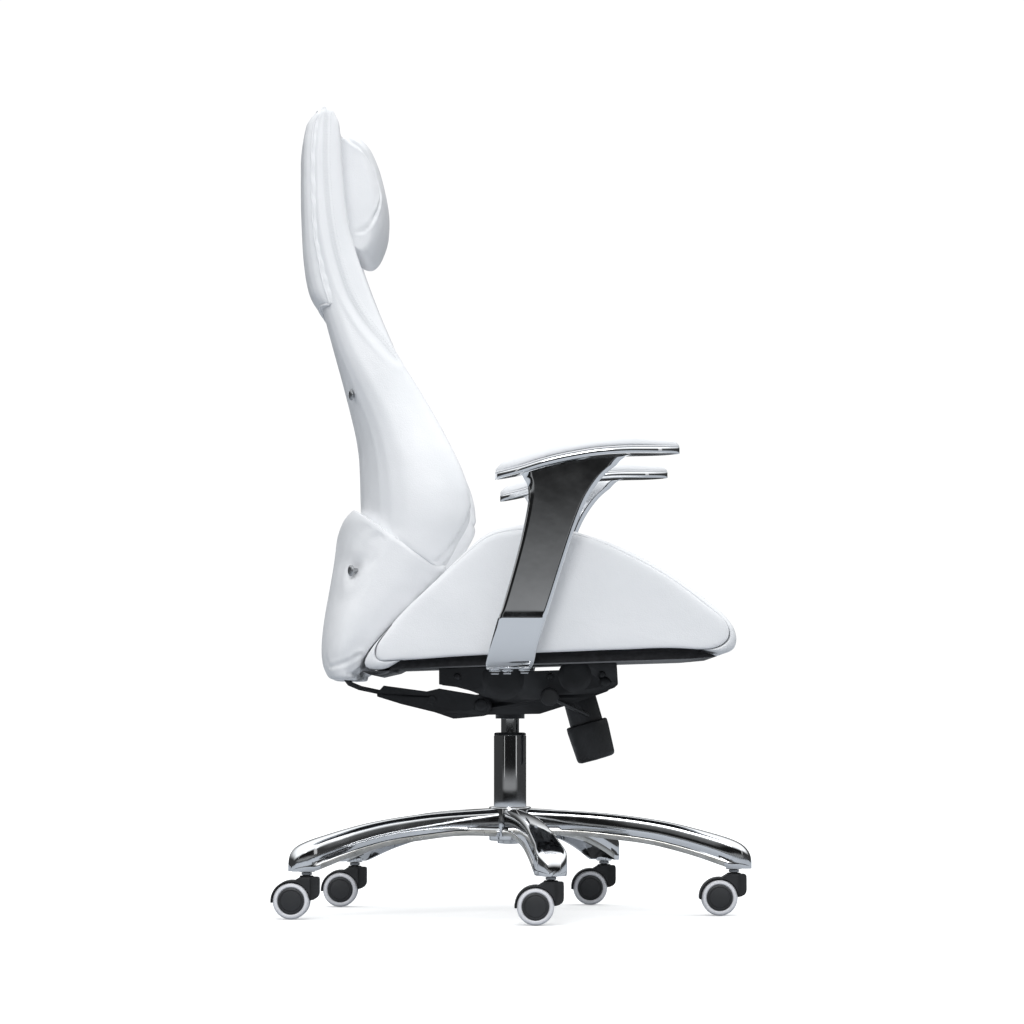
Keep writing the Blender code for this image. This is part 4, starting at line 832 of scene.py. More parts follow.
def without_pits(grid, depth=0.0025):
    """Lifts points that lie in small pockets to the middle of their neighbours."""
    shifted = [np.roll(np.roll(grid, i, 0), j, 1) for i in (-2, -1, 0, 1, 2) for j in (-2, -1, 0, 1, 2)]
    middle = np.median(np.stack(shifted), axis=0)
    pit = np.linalg.norm(grid - middle, axis=2) > depth
    pit[:2] = pit[-2:] = False
    grid[pit] = middle[pit]
    return grid


def drawn_in(grid, amounts, first):
    """Pulls the first or last rows towards their middle, as a sewn edge does."""
    for step, amount in enumerate(amounts):
        row = step if first else -1 - step
        centre = grid[row].mean(axis=0)
        away = grid[row] - centre
        reach = np.linalg.norm(away, axis=1, keepdims=True)
        grid[row] = centre + away * (1 - amount / reach)
    return grid


def lapped(grid, amounts, first):
    """Runs an edge on past its seam, so that it closes on the piece beyond."""
    for step, amount in enumerate(amounts):
        grid[step if first else -1 - step, :, 2] += -amount if first else amount
    return grid


def make_upper_back():
    solid = solid_tree("back_cushion")
    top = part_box("back_cushion")[1].z
    grid = back_grid(solid, (0.7, 0.45, 0.0006), top - 0.0006, 100, UPPER_COLUMNS)
    grid = smooth_grid(without_pits(grid), 3)
    grid = drawn_in(grid, (0.0016, 0.001, 0.0005, 0.0002), True)
    grid = lapped(grid, (0.0034, 0.0024, 0.0015, 0.0007), True)
    back = grid_piece("upper_back_leather", grid, LEATHER, turn=bend_middle(*UPPER_COLUMNS))
    points = vertices_of(back)
    seams = front_seams(piece_tree(back))
    held = ((distance_to(points, seams) < 0.008) | (points[:, 1] > SPINE_Y(points[:, 2]) - 0.01)
            | (np.abs(points[:, 0]) > SPINE_HALF(points[:, 2]) - 0.01) | (points[:, 2] > 1.2))
    puff(back, held, 3.0, 0.009)
    denser(back)
    tree = piece_tree(back)
    seams, folds, welts = front_seams(tree), side_lines(tree, FOLD), side_lines(tree, WELT)
    crease(back, seams, 0.0042, 0.0052)
    crease(back, folds, 0.0042, 0.0013, 0.7)
    crease(back, welts, 0.0038, 0.0022, 0.4)
    ripple(back, 0.0014, 50.0, (1.0, 1.0, 0.3), near(seams, 0.028))
    ripple(back, 0.0026, 8.0, (1.0, 1.0, 0.7), offset=5.0)
    cushion(back, "back", 0.8, "back_cushion")
    tree = piece_tree(back)
    lines = [beside(tree, fold, gap, (0, -1, 0)) for fold in folds for gap in (0.0045, 0.0085, 0.0125)]
    lines += [beside(tree, welt, 0.0045, (0, 1, 1)) for welt in welts]
    lines += [beside(tree, seams[i], 0.006, (side, 0, 0)) for i, side in ((0, -1), (1, 1))]
    lines += [beside(tree, seam, 0.006, (0, 0, up)) for seam in seams[2:] for up in (-1, 1)]
    stitches("upper_back_stitching", tree, lines, "back")


def front_seams(tree):
    """On the face that the sitter leans on: two long seams, and channels across between them."""
    insert = smooth_curve([(0.56, 0.15), (0.75, 0.128), (0.95, 0.112), (1.18, 0.112)])
    zs = np.linspace(0.56, 1.185, 90)
    seams = [laid(tree, [(side * float(insert(z)), 0.0, z) for z in zs], (0, 1, 0)) for side in (-1, 1)]
    for z in (0.63, 0.715, 0.8, 0.885, 0.97):
        xs = np.linspace(-1, 1, 40) * float(insert(z))
        seams.append(laid(tree, [(x, 0.0, z + 0.35 * x * x) for x in xs], (0, 1, 0)))
    return seams


def make_lower_back():
    solid = solid_tree("lower_back_cushion")
    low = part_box("lower_back_cushion")[0].z
    grid = back_grid(solid, low + 0.0015, (0.42, 0.66, -0.001), 44, LOWER_COLUMNS)
    grid = smooth_grid(without_pits(grid), 2)
    grid = smooth_grid(pressed(grid, solid_tree("seat_cushion"), Vector((0, -1, 0)), 0.0015, 0.028), 2)
    grid = drawn_in(grid, (0.0024, 0.0016, 0.0009, 0.0004), False)
    grid = lapped(grid, (0.003, 0.0022, 0.0014, 0.0007), False)
    grid = drawn_in(grid, (0.008, 0.0045, 0.0022, 0.001, 0.0004), True)
    back = grid_piece("lower_back_leather", grid, LEATHER, turn=bend_middle(*LOWER_COLUMNS))
    points = vertices_of(back)
    held = (points[:, 1] < SPINE_Y(points[:, 2]) + 0.01) | (points[:, 2] < 0.375)
    puff(back, held, 2.4, 0.004)
    denser(back, 2)
    tree = piece_tree(back)
    hem, bottom = side_lines(tree, LOWER_HEM), side_lines(tree, LOWER_BOTTOM)
    ripple(back, 0.0044, 95.0, (1.0, 1.0, 0.35), near(hem, 0.034))
    ripple(back, 0.0022, 36.0, mask=near(hem + bottom, 0.07), offset=2.0)
    crease(back, bottom, 0.003, 0.0016)
    ripple(back, 0.003, 9.0, offset=9.0)
    pockets = [np.array(sum(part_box(f"back_screw_lower_{word}"), Vector()) / 2) for _, word in SIDES]
    crease(back, [np.array([p, p + np.array([0, 0.0001, 0])]) for p in pockets], 0.012, 0.003)
    cushion(back, "back", 0.75, "lower_back_cushion")


def make_head_panel():
    """The raised pad behind the head, edged with piping."""
    solid, body = solid_tree("head_panel"), solid_tree("back_cushion")
    low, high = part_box("head_panel")

    def rear(tree, x, z):
        return tree.ray_cast(Vector((x, 1.0, z)), Vector((0, -1, 0)), 0.9)[0]

    count = 64
    outer, inner = [], []
    for z in np.linspace(low.z + 0.004, high.z - 0.0015, 60):
        edge_x = 0.5 * (high.x - low.x) * 0.985
        while rear(solid, edge_x, z) is None:
            edge_x -= 0.002
        row, back_row = [], []
        for share in np.linspace(-1, 1, count):
            x = edge_x * math.sin(share * math.pi / 2) * 0.999
            y, base = rear(solid, x, z).y, rear(body, x, z)
            row.append((x, y, z))
            back_row.append((x, min(base.y if base is not None else y - 0.004, y) - 0.009, z))
        outer.append(row)
        inner.append(back_row)
    skin = smooth_grid(np.array(outer), 2, wrap=False)
    panel = grid_piece("head_panel_leather", np.concatenate([skin, np.array(inner)[:, ::-1]], axis=1), LEATHER)
    held = distance_to(vertices_of(panel), [skin[:, 0], skin[:, -1], skin[0], skin[-1],
                                            np.array(inner)[:, count // 2 - 1]]) < 0.02
    puff(panel, held, 2.0, 0.003)
    denser(panel)
    ripple(panel, 0.0016, 11.0, offset=4.0)
    cushion(panel, "back", 0.8, "head_panel")
    top_run = skin[-1, 3:-3] - (0.0, 0.0, 0.0014)
    loop = np.vstack([skin[:-1, 2], top_run, skin[-2::-1, -3], skin[0, 3:-3][::-1], skin[:1, 2]])
    for _ in range(2):
        loop[1:-1] = (loop[:-2] + 2 * loop[1:-1] + loop[2:]) / 4
    piping = tube("head_panel_piping", evenly(loop, 0.005)[:-1], 0.0019, LEATHER, 3, True)
    fit(piping, "back", "white_leather")


def make_pillow():
    """A D-shaped head pillow whose ends are gusset panels set in a seam."""
    solid = solid_tree("head_pillow")
    low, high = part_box("head_pillow")
    centre_y, centre_z = high.y - 0.022, (low.z + high.z) / 2 - 0.004
    shares = list(np.linspace(0.0, 0.8, 14)) + [0.86, 0.91, 0.95, 0.98, 1.0]
    rows = []
    for share in [-s for s in reversed(shares)] + shares[1:]:
        x = share * high.x * 0.985
        hits = [cast(solid, (x, centre_y, centre_z + along), (0.0, b, a))
                for along, (a, b) in stadium(0.062, *PILLOW_COLUMNS)]
        rows.append([(x, hit.y, hit.z) for hit in hits])
    grid = smooth_grid(np.array(rows), 2)
    pillow = grid_piece("head_pillow_leather", grid, LEATHER, turn=bend_middle(*PILLOW_COLUMNS))
    points = vertices_of(pillow)
    gussets = side_lines(piece_tree(pillow), GUSSET)
    held = (points[:, 1] > SPINE_Y(points[:, 2]) - 0.03) | (distance_to(points, gussets) < 0.006)
    puff(pillow, held, 2.2, 0.0035)
    denser(pillow, 2)
    gussets = side_lines(piece_tree(pillow), GUSSET)
    crease(pillow, gussets, 0.0024, 0.0019, 0.4)
    ripple(pillow, 0.0012, 60.0, (0.3, 1.0, 1.0), near(gussets, 0.02))
    ripple(pillow, 0.0018, 14.0, offset=6.0)
    cushion(pillow, "back", 0.7, "head_pillow")


# ---------------------------------------------------------------- armrests

ARM_X = 0.311
ARM_PLATE_HALF = 0.004
ARM_EDGE_R = 0.0022
ARM_PAD_MIDDLE_Y = -0.117
ARM_PAD_HALF_LENGTH = 0.1365
ARM_PAD_HALF_W = 0.045
ARM_FRAME_THICKNESS = 0.009
FOOT_Z = 0.3771
SEAT_SLOPE = 0.031
ARM_STEPS = 8  # rows for each stretch of the route
ARM_ROUTE = [(0.196, 0.034, FOOT_Z, -0.0365, FOOT_Z), (0.24, 0.034, FOOT_Z, -0.0365, FOOT_Z),
             (0.264, 0.034, FOOT_Z + 0.0004, -0.0365, FOOT_Z + 0.0004),
             (0.279, 0.0335, 0.379, -0.037, 0.38), (0.292, 0.0325, 0.385, -0.0385, 0.387),
             (0.303, 0.028, 0.405, -0.0435, 0.407), (0.3098, 0.017, 0.4435, -0.0545, 0.4435),
             (ARM_X - 0.0002, 0.0138, 0.453, -0.0575, 0.453), (ARM_X, 0.006, 0.4758, -0.0647, 0.4758),
             (ARM_X, -0.0108, 0.5353, -0.0832, 0.5347),
             (ARM_X, -0.0225, 0.583, -0.0994, 0.583), (ARM_X, -0.0298, 0.624, -0.1168, 0.624),
             (ARM_X, -0.029, 0.643, -0.1383, 0.6555), (ARM_X, -0.024, 0.654, -0.16, 0.675),
             (ARM_X, -0.018, 0.66, -0.183, 0.6895)]  # x, the rear edge's y and z, the front edge's y and z
FRAME_BOTTOM = smooth_curve([(-0.2535, 0.6916), (-0.22, 0.6905), (-0.1808, 0.6901), (-0.1378, 0.6876),
                             (-0.0948, 0.6811), (-0.0518, 0.6715), (-0.0153, 0.6606), (0.0195, 0.653)])
PAD_CROWN = smooth_curve([(-0.2535, 0.7024), (-0.25, 0.707), (-0.24, 0.713), (-0.2243, 0.717),
                          (-0.1812, 0.7232), (-0.138, 0.7232), (-0.095, 0.7179), (-0.0518, 0.707),
                          (-0.0087, 0.6876), (0.012, 0.676), (0.0195, 0.668)])


def make_arm_plate(side, word):
    """Flat chromed bar bent up from a foot under the seat, its long edges rounded."""
    rows = through(ARM_ROUTE, ARM_STEPS)
    last = len(rows) - 1
    slope_end = 3 * ARM_STEPS  # up to here the foot follows the slope of the seat's underside
    shares = [0.0, *np.linspace(0.03, 0.97, 15), 1.0]
    grid = []
    for i, (x, y0, z0, y1, z1) in enumerate(rows):
        before, after = rows[max(i - 1, 0)], rows[min(i + 1, last)]
        along = Vector((after[0] - before[0], (after[2] + after[4] - before[2] - before[4]) / 2)).normalized()
        normal = Vector((along.y, -along.x))  # in x and z, outwards
        width = math.hypot(y1 - y0, z1 - z0)
        follow = max(0.0, (i - last + ARM_STEPS) / ARM_STEPS)  # the top end lies against the tray
        ring = []
        for face in (1, -1):
            for share in shares[::face]:
                edge = min(share, 1 - share) * width
                tuck = ARM_EDGE_R * (1 - math.sqrt(max(0.0, 1 - (1 - min(edge / ARM_EDGE_R, 1)) ** 2)))
                y, z = y0 + (y1 - y0) * share, z0 + (z1 - z0) * share
                if i < slope_end:
                    z -= SEAT_SLOPE * y * (1 - max(0, i - slope_end + ARM_STEPS) / ARM_STEPS)
                z += follow * (float(FRAME_BOTTOM(y)) - 0.0003 - z)
                off = face * (ARM_PLATE_HALF - tuck)
                ring.append((side * (x + normal.x * off), y, z + normal.y * off))
        grid.append(ring)
    obj = grid_piece(f"arm_plate_{word}_finish", np.array(grid), CHROME, 50)
    fit(obj, "seat", "chrome", f"arm_plate_{word}")


def arm_stations(trim):
    """Places along the armrest and its half width there, close together at the round ends."""
    found = []
    for angle in np.radians(np.linspace(-86, 86, 60)):
        share = math.sin(angle)
        half = ARM_PAD_HALF_W * (1 - abs(share) ** 3.2) ** 0.5 - trim
        found.append((ARM_PAD_MIDDLE_Y + share * (ARM_PAD_HALF_LENGTH - trim), max(half, 0.004)))
    return found


def mirrored(half):
    """A closed section from the (width, height) points of its one half."""
    return half + [(-w, z) for w, z in reversed(half)]


def make_arm_frame(side, word):
    """Chromed tray with a rolled lower edge, which holds the pad."""
    grid = []
    for y, half in arm_stations(0.0):
        low = float(FRAME_BOTTOM(y))
        high = low + ARM_FRAME_THICKNESS
        shape = [(half - 0.02 if half > 0.025 else half * 0.2, low + 0.0004), (half - 0.0052, low)]
        shape += [(half - 0.0036 + 0.0036 * math.sin(a), low + 0.0036 - 0.0036 * math.cos(a))
                  for a in np.radians((0, 22, 45, 68, 90))]
        shape += [(half, high - 0.0018), (half - 0.0006, high - 0.0005), (half - 0.002, high)]
        grid.append([(side * ARM_X + w, y, z) for w, z in mirrored(shape)])
    obj = grid_piece(f"arm_frame_{word}_finish", np.array(grid), CHROME, 50)
    fit(obj, "seat", "chrome", f"arm_frame_{word}")


def make_arm_pad(side, word):
    """Upholstered pad, crowned both ways, with a piped hem on the chromed tray."""
    grid = []
    for y, half in arm_stations(0.0006):
        low = float(FRAME_BOTTOM(y)) + ARM_FRAME_THICKNESS + 0.0004
        height = max(float(PAD_CROWN(y)) - low, 0.0015)
        shape = [(half - 0.0022, low)]
        shape += [(half * math.cos(a) ** (2 / 3), low + height * math.sin(a) ** (2 / 3))
                  for a in np.radians(np.linspace(4, 90, 14))]
        ring = shape + mirrored(shape[:-1])[len(shape) - 1:]
        grid.append([(side * ARM_X + w, y, z) for w, z in ring])
    pad = grid_piece(f"arm_pad_{word}_leather", np.array(grid), LEATHER)
    points = vertices_of(pad)
    base = FRAME_BOTTOM(points[:, 1]) + ARM_FRAME_THICKNESS + 0.004
    puff(pad, points[:, 2] < base, 1.6, 0.0015)
    denser(pad)
    ripple(pad, 0.0011, 24.0, (1.0, 0.6, 1.0), offset=11.0)
    cushion(pad, "seat", 0.9, f"arm_pad_{word}")
    stations = arm_stations(0.0012)
    edge = stations + [(y, -w) for y, w in reversed(stations)]
    loop = [(side * ARM_X + w, y, float(FRAME_BOTTOM(y)) + ARM_FRAME_THICKNESS + 0.0013) for y, w in edge]
    fit(tube(f"arm_pad_{word}_hem", loop, 0.0011, LEATHER, 2, True), "seat", "white_leather")


# ---------------------------------------------------------------- base and castors

LEGS = 5
FIRST_LEG_ANGLE = math.radians(7.5)
CASTOR_CIRCLE_R = 0.3465
LEG_TIP_R = 0.3732
LEG_TOP = smooth_curve([(0.02, 0.163), (0.0527, 0.1612), (0.139, 0.156), (0.231, 0.1445), (0.3085, 0.1265),
                        (0.348, 0.114), (0.36, 0.1075), (0.368, 0.099), (0.372, 0.0905),
                        (LEG_TIP_R, 0.084)])
LEG_UNDERSIDE = smooth_curve([(0.02, 0.119), (0.087, 0.1215), (0.17, 0.1145), (0.216, 0.1085),
                              (0.262, 0.098), (0.3, 0.0868), (0.327, 0.0775), (0.345, 0.0722),
                              (LEG_TIP_R, 0.0714)])
LEG_HALF_W = smooth_curve([(0.02, 0.019), (0.1, 0.018), (0.2, 0.0195), (0.3, 0.023), (0.34, 0.0245),
                           (0.357, 0.0225), (0.3675, 0.0165), (LEG_TIP_R, 0.009)])
LEG_WALL = 0.0035
LEG_SKIRT = 0.24  # the rough band along a leg's lower edge, as a share of its depth
HOLLOW_END_R = (0.285, 0.34)  # where the hollow under a leg begins to close, and where it ends


def apply_booleans(obj, operation, others):
    for other in others:
        modifier = obj.modifiers.new("Boolean", "BOOLEAN")
        modifier.operation = operation
        modifier.solver = "MANIFOLD"
        modifier.object = other
    applied(obj)
    for other in others:
        bpy.data.objects.remove(other, do_unlink=True)


def resharpen(obj, angle):
    obj.data.shade_smooth()
    obj.data.set_sharp_from_angle(angle=math.radians(angle))
    return obj


def leg_direction(k):
    angle = FIRST_LEG_ANGLE + k * 2 * math.pi / LEGS
    return Vector((-math.sin(angle), -math.cos(angle), 0))


def leg_shape(radius):
    """A leg's section at a radius: its outer line over the top, then its inner line back under it."""
    half, top, low = (float(curve(radius)) for curve in (LEG_HALF_W, LEG_TOP, LEG_UNDERSIDE))
    depth = top - low
    flat = clamped((radius - 0.322) / 0.03)
    belly = 0.035 * half * clamped((radius - 0.07) / 0.12) * (1 - flat)
    wall = (0.92 + 0.075 * flat) * half
    shoulder = top - 0.26 * depth
    outer = [(0.95 * half, low), (0.965 * half, low + 0.0012), (half, low + 0.17 * depth),
             (max(wall, 0.985 * half), low + 0.2 * depth), (wall, low + LEG_SKIRT * depth),
             (wall + 0.7 * belly, low + 0.36 * depth), (wall + belly, low + 0.5 * depth),
             (wall - 0.01 * half + 0.7 * belly, low + 0.62 * depth), (wall - 0.02 * half, shoulder)]
    outer += [(0.5 * half + (wall - 0.52 * half) * math.cos(a), shoulder + 0.235 * depth * math.sin(a))
              for a in np.radians((15, 30, 45, 60, 75, 90))]
    outer += [(half * 0.34, top - 0.012 * depth), (half * 0.14, top)]
    start, end = HOLLOW_END_R
    closing = clamped((radius - start) / (end - start))
    closing *= closing * (3 - 2 * closing)
    hollow = (depth - 0.006) * (1 - closing) + 0.0006 * closing
    inner_half = 0.9 * half - LEG_WALL
    inner = [(0.45 * inner_half, low + hollow), (0.85 * inner_half, low + 0.92 * hollow),
             (inner_half, low + 0.75 * hollow), (inner_half, low + 0.2 * hollow), (inner_half, low)]
    return outer, inner


def make_leg(k):
    direction = leg_direction(k)
    across = Vector((-direction.y, direction.x, 0))
    radii = [*np.linspace(0.0285, 0.34, 58), 0.345, 0.35, 0.355, 0.359, 0.363, 0.366, 0.3685, 0.3705, 0.372,
             LEG_TIP_R]
    rows = []
    for radius in radii:
        outer, inner = leg_shape(radius)
        ring = mirrored(outer) + [(-w, z) for w, z in reversed(inner)] + inner
        rows.append([direction * radius + across * w + Vector((0, 0, z)) for w, z in ring])
    return grid_piece(f"leg_{k + 1}", rows, BASE_CHROME, 40)


def make_star_base():
    """One casting: a hub with a tapered bore, five channel-section legs and a boss for each castor."""
    profile = rounded([(0.0215, 0.1125), (0.0325, 0.1125), (0.0325, 0.165), (0.0256, 0.165), (0.02, 0.1125),
                       (0.0215, 0.1125)], 0.0028)
    hub = turned("star_base_finish", profile[:-1], BASE_CHROME, sides=96)
    added, cut = [make_leg(k) for k in range(LEGS)], []
    boss = rounded([(0, 0.085), (0.0125, 0.085), (0.0125, 0.0705), (0, 0.0705)], 0.0012)
    bore = [(0, 0.1005), (0.0059, 0.1005), (0.0059, 0.06), (0, 0.06)]
    for k in range(LEGS):
        place = Matrix.Translation(leg_direction(k) * CASTOR_CIRCLE_R)
        added.append(turned(f"boss_{k}", boss, BASE_CHROME, place, 32))
        cut.append(turned(f"bore_{k}", bore, BASE_CHROME, place, 32))
    apply_booleans(hub, "UNION", added)
    taper = [(0, 0.167), (0.02575, 0.167), (0.0199, 0.1), (0, 0.1)]
    apply_booleans(hub, "DIFFERENCE", cut + [turned("taper", taper, BASE_CHROME, sides=96)])
    hub.data.materials.append(ROUGH_CASTING)
    for polygon in hub.data.polygons:
        place = polygon.center
        radius = place.xy.length
        leg = max((leg_direction(k) for k in range(LEGS)), key=place.dot)
        low, top, half = (float(curve(radius)) for curve in (LEG_UNDERSIDE, LEG_TOP, LEG_HALF_W))
        skirt_top = low + (LEG_SKIRT - 0.02) * (top - low)
        if 0.04 < radius < 0.335 and abs(place.x * leg.y - place.y * leg.x) > 0.9 * half and place.z < skirt_top:
            polygon.material_index = 1
    fit(resharpen(hub, 38), "base", "polished_base", "star_base")


CASTOR_TRAIL = 0.0225
WHEEL_R = 0.0275
WHEEL_W = 0.0175
WHEEL_INNER_X = 0.0068
HOOD_R = 0.0308
HOOD_HALF_W = 0.0245


def extruded(name, outline, x_low, x_high, material, edge=0.0, sharp=35):
    """A flat (y, z) outline extruded along X, its edges rounded by a small bevel."""
    bm = bmesh.new()
    loops = [[bm.verts.new((x, y, z)) for y, z in outline] for x in (x_low, x_high)]
    bm.faces.new(loops[0])
    bm.faces.new(loops[1])
    for i in range(len(outline)):
        j = (i + 1) % len(outline)
        bm.faces.new((loops[0][i], loops[0][j], loops[1][j], loops[1][i]))
    bmesh.ops.recalc_face_normals(bm, faces=bm.faces)
    if edge:
        rim = [e for e in bm.edges if abs(e.verts[0].co.x - e.verts[1].co.x) < 1e-9]
        bmesh.ops.bevel(bm, geom=rim, offset=edge, segments=3, affect="EDGES", clamp_overlap=True)
    return finish_mesh(name, bm, material, sharp)


def arc(centre, radius, start, end, steps):
    """Points on an arc in (y, z), from +y towards +z, in degrees."""
    return [(centre[0] + radius * math.cos(a), centre[1] + radius * math.sin(a))
            for a in np.radians(np.linspace(start, end, steps + 1))]


def along_x(x, y, z, side):
    """Puts a turned piece's axis along X, its local Z pointing outwards on the given side."""
    return Matrix.Translation((x, y, z)) @ Matrix.Rotation(math.radians(90 * side), 4, "Y")


def castor_hood_mesh():
    nose = [(-0.013, 0.0358), (-0.0225, 0.0358), (-0.032, 0.0357), (-0.0385, 0.0355), (-0.0405, 0.0348),
            (-0.0414, 0.033), (-0.0416, 0.029), (-0.0416, 0.012), (-0.0408, 0.0078), (-0.0385, 0.0045),
            (-0.034, 0.0018), (-0.029, 0.0006), (-0.012, -0.0085), (0.012, -0.0085)]
    outline = [(CASTOR_TRAIL + y, WHEEL_R + z) for y, z in arc((0, 0), HOOD_R, -4, 98, 26) + nose]
    hood = extruded("hood", outline, -HOOD_HALF_W, HOOD_HALF_W, BLACK_PLASTIC, 0.0016)
    room_x, room_r = WHEEL_INNER_X - 0.0008, WHEEL_R + 0.0013
    room = [(0, room_x), (room_r, room_x), (room_r, 0.05), (0, 0.05)]
    slab = [(-0.06, 0.006), (-0.0045, 0.006), (-0.006, 0.026), (-0.006, 0.096), (-0.06, 0.096)]
    cutters = []
    for side in (-1, 1):
        cutters.append(turned("room", room, BLACK_PLASTIC, along_x(0, CASTOR_TRAIL, WHEEL_R, side), 72))
        cutters.append(extruded("slab", slab, *sorted((side * 0.0165, side * 0.04)), BLACK_PLASTIC))
    hole = [(0, 0.09), (0.0059, 0.09), (0.0059, 0.0475), (0, 0.0475)]
    cutters.append(turned("hole", hole, BLACK_PLASTIC, sides=32))
    apply_booleans(hood, "DIFFERENCE", cutters)
    axle = [(0, -0.02), (0.003, -0.02), (0.003, 0.02), (0, 0.02)]
    apply_booleans(hood, "UNION", [turned("axle", axle, STEEL, along_x(0, CASTOR_TRAIL, WHEEL_R, 1), 24)])
    collar = rounded([(0.006, 0.064), (0.006, 0.05), (0.0105, 0.05), (0.0105, 0.065), (0.006, 0.065)],
                     0.0008)
    apply_booleans(hood, "UNION", [turned("collar", collar, BLACK_PLASTIC, sides=40)])
    return take_mesh(resharpen(hood, 35))


def take_mesh(obj):
    mesh = obj.data
    bpy.data.objects.remove(obj, do_unlink=True)
    return mesh


def tread_profile():
    """A tyre's section: a flat running face with round shoulders, and a lip round the cap."""
    w, r = WHEEL_W, WHEEL_R
    outer = [(0.0125, 0.0), (r - 0.004, 0.0), (r, 0.003), (r, w - 0.004), (r - 0.0022, w - 0.0004),
             (0.0212, w), (0.0206, w - 0.0022), (0.0125, w - 0.0022), (0.0125, 0.0)]
    return rounded(outer, 0.0017)[:-1]


def cap_profile():
    """The wheel's domed black cap, with a ring step near its rim."""
    w = WHEEL_W
    return [(0, w + 0.0012), (0.005, w + 0.0011), (0.01, w + 0.0008), (0.015, w + 0.0002),
            (0.0158, w - 0.0007), (0.0166, w - 0.0007), (0.0172, w - 0.0001), (0.019, w - 0.0005),
            (0.02, w - 0.0012), (0.0203, w - 0.003), (0.012, w - 0.003), (0.012, 0.0004),
            (0.0033, 0.0004), (0.0033, w - 0.003), (0, w - 0.003)]


def copy_of(mesh, name, place, body, slot, *nodes):
    obj = linked(name, mesh.copy())
    obj.data.transform(place)
    return fit(obj, body, slot, *nodes)


def make_castors():
    hood = castor_hood_mesh()
    stem = take_mesh(turned("stem", rounded([(0, 0.0995), (0.0055, 0.0985), (0.0055, 0.07), (0.008, 0.0698),
                                             (0.008, 0.066), (0.0055, 0.0655), (0.0055, 0.048), (0, 0.048)],
                                            0.0004), STEEL, sides=32))
    tread = take_mesh(turned("tread", tread_profile(), TREAD, sides=72))
    cap = take_mesh(turned("cap", cap_profile(), HUB_PLASTIC, sides=64))
    for k in range(LEGS):
        name = f"castor_{k + 1}"
        at = leg_direction(k) * CASTOR_CIRCLE_R
        copy_of(hood, f"{name}_hood", Matrix.Translation(at), name, "black_plastic", f"{name}_housing")
        copy_of(stem, f"{name}_stem_finish", Matrix.Translation(at), name, "steel", f"{name}_stem")
        for side, word in SIDES:
            place = along_x(at.x + side * WHEEL_INNER_X, at.y + CASTOR_TRAIL, WHEEL_R, side)
            wheel = f"{name}_wheel_{word}"
            copy_of(tread, f"{wheel}_tread", place, f"{wheel}_body", "white_tread", wheel)
            copy_of(cap, f"{wheel}_cap", place, f"{wheel}_body", "black_plastic")


# ---------------------------------------------------------------- gas lift and mechanism

REAR_PIVOT = (0.044, 0.321)
FRONT_PIVOT = (-0.146, 0.357)
BRACKET_OUTER_X = 0.0675
PLATE_OUTER_X = 0.079
KNOB_LEAN = math.radians(15.8)
KNOB_TOP = (-0.109, 0.3265)
TILT_LEVER_PIVOT = (-0.035, -0.119, 0.3065)
TILT_GRIP = (-0.061, 0.334)
HEIGHT_LEVER_Z = 0.3435


def make_lift():
    lathed("lift_tube_finish", [(0.0225, 0.175), (0.0235, 0.275), (0.025, 0.275), (0.025, 0.164),
                                (0.0193, 0.1085), (0.0056, 0.107), (0.0056, 0.1115), (0.0165, 0.1115),
                                (0.0215, 0.165), (0.0225, 0.175)],
           0.0009, CHROME, ("base", "chrome", "lift_tube"), sides=96)
    lathed("lift_guide_finish", [(0.0145, 0.205), (0.0145, 0.278), (0.0205, 0.2795), (0.0243, 0.2785),
                                 (0.0248, 0.2754), (0.0231, 0.2754), (0.0231, 0.205), (0.0145, 0.205)],
           0.0007, BLACK_PLASTIC, ("base", "black_plastic", "lift_guide"), sides=72)
    lathed("lift_cylinder_finish", [(0, 0.318), (0.0044, 0.318), (0.0044, 0.3325), (0.0125, 0.3325),
                                    (0.014, 0.3), (0.014, 0.15), (0.0056, 0.15), (0.0056, 0.29),
                                    (0, 0.29)],
           0.0008, CHROME, ("tilt_unit", "chrome", "lift_cylinder"), sides=72)
    lathed("lift_rod_finish", [(0, 0.262), (0.005, 0.262), (0.005, 0.1215), (0.012, 0.121),
                               (0.013, 0.1195), (0.013, 0.112), (0.005, 0.112), (0.005, 0.1085),
                               (0, 0.1085)],
           0.0006, STEEL, ("lift_rod_body", "steel", "lift_rod"), sides=48)
    lathed("lift_valve_pin_finish", [(0, 0.339), (0.004, 0.339), (0.004, 0.3245), (0, 0.3245)],
           0.0008, STEEL, ("valve_pin", "steel", "lift_valve_pin"), sides=40)


def on_knob_axis():
    return Matrix.Translation((0, *KNOB_TOP)) @ Matrix.Rotation(-KNOB_LEAN, 4, "X")


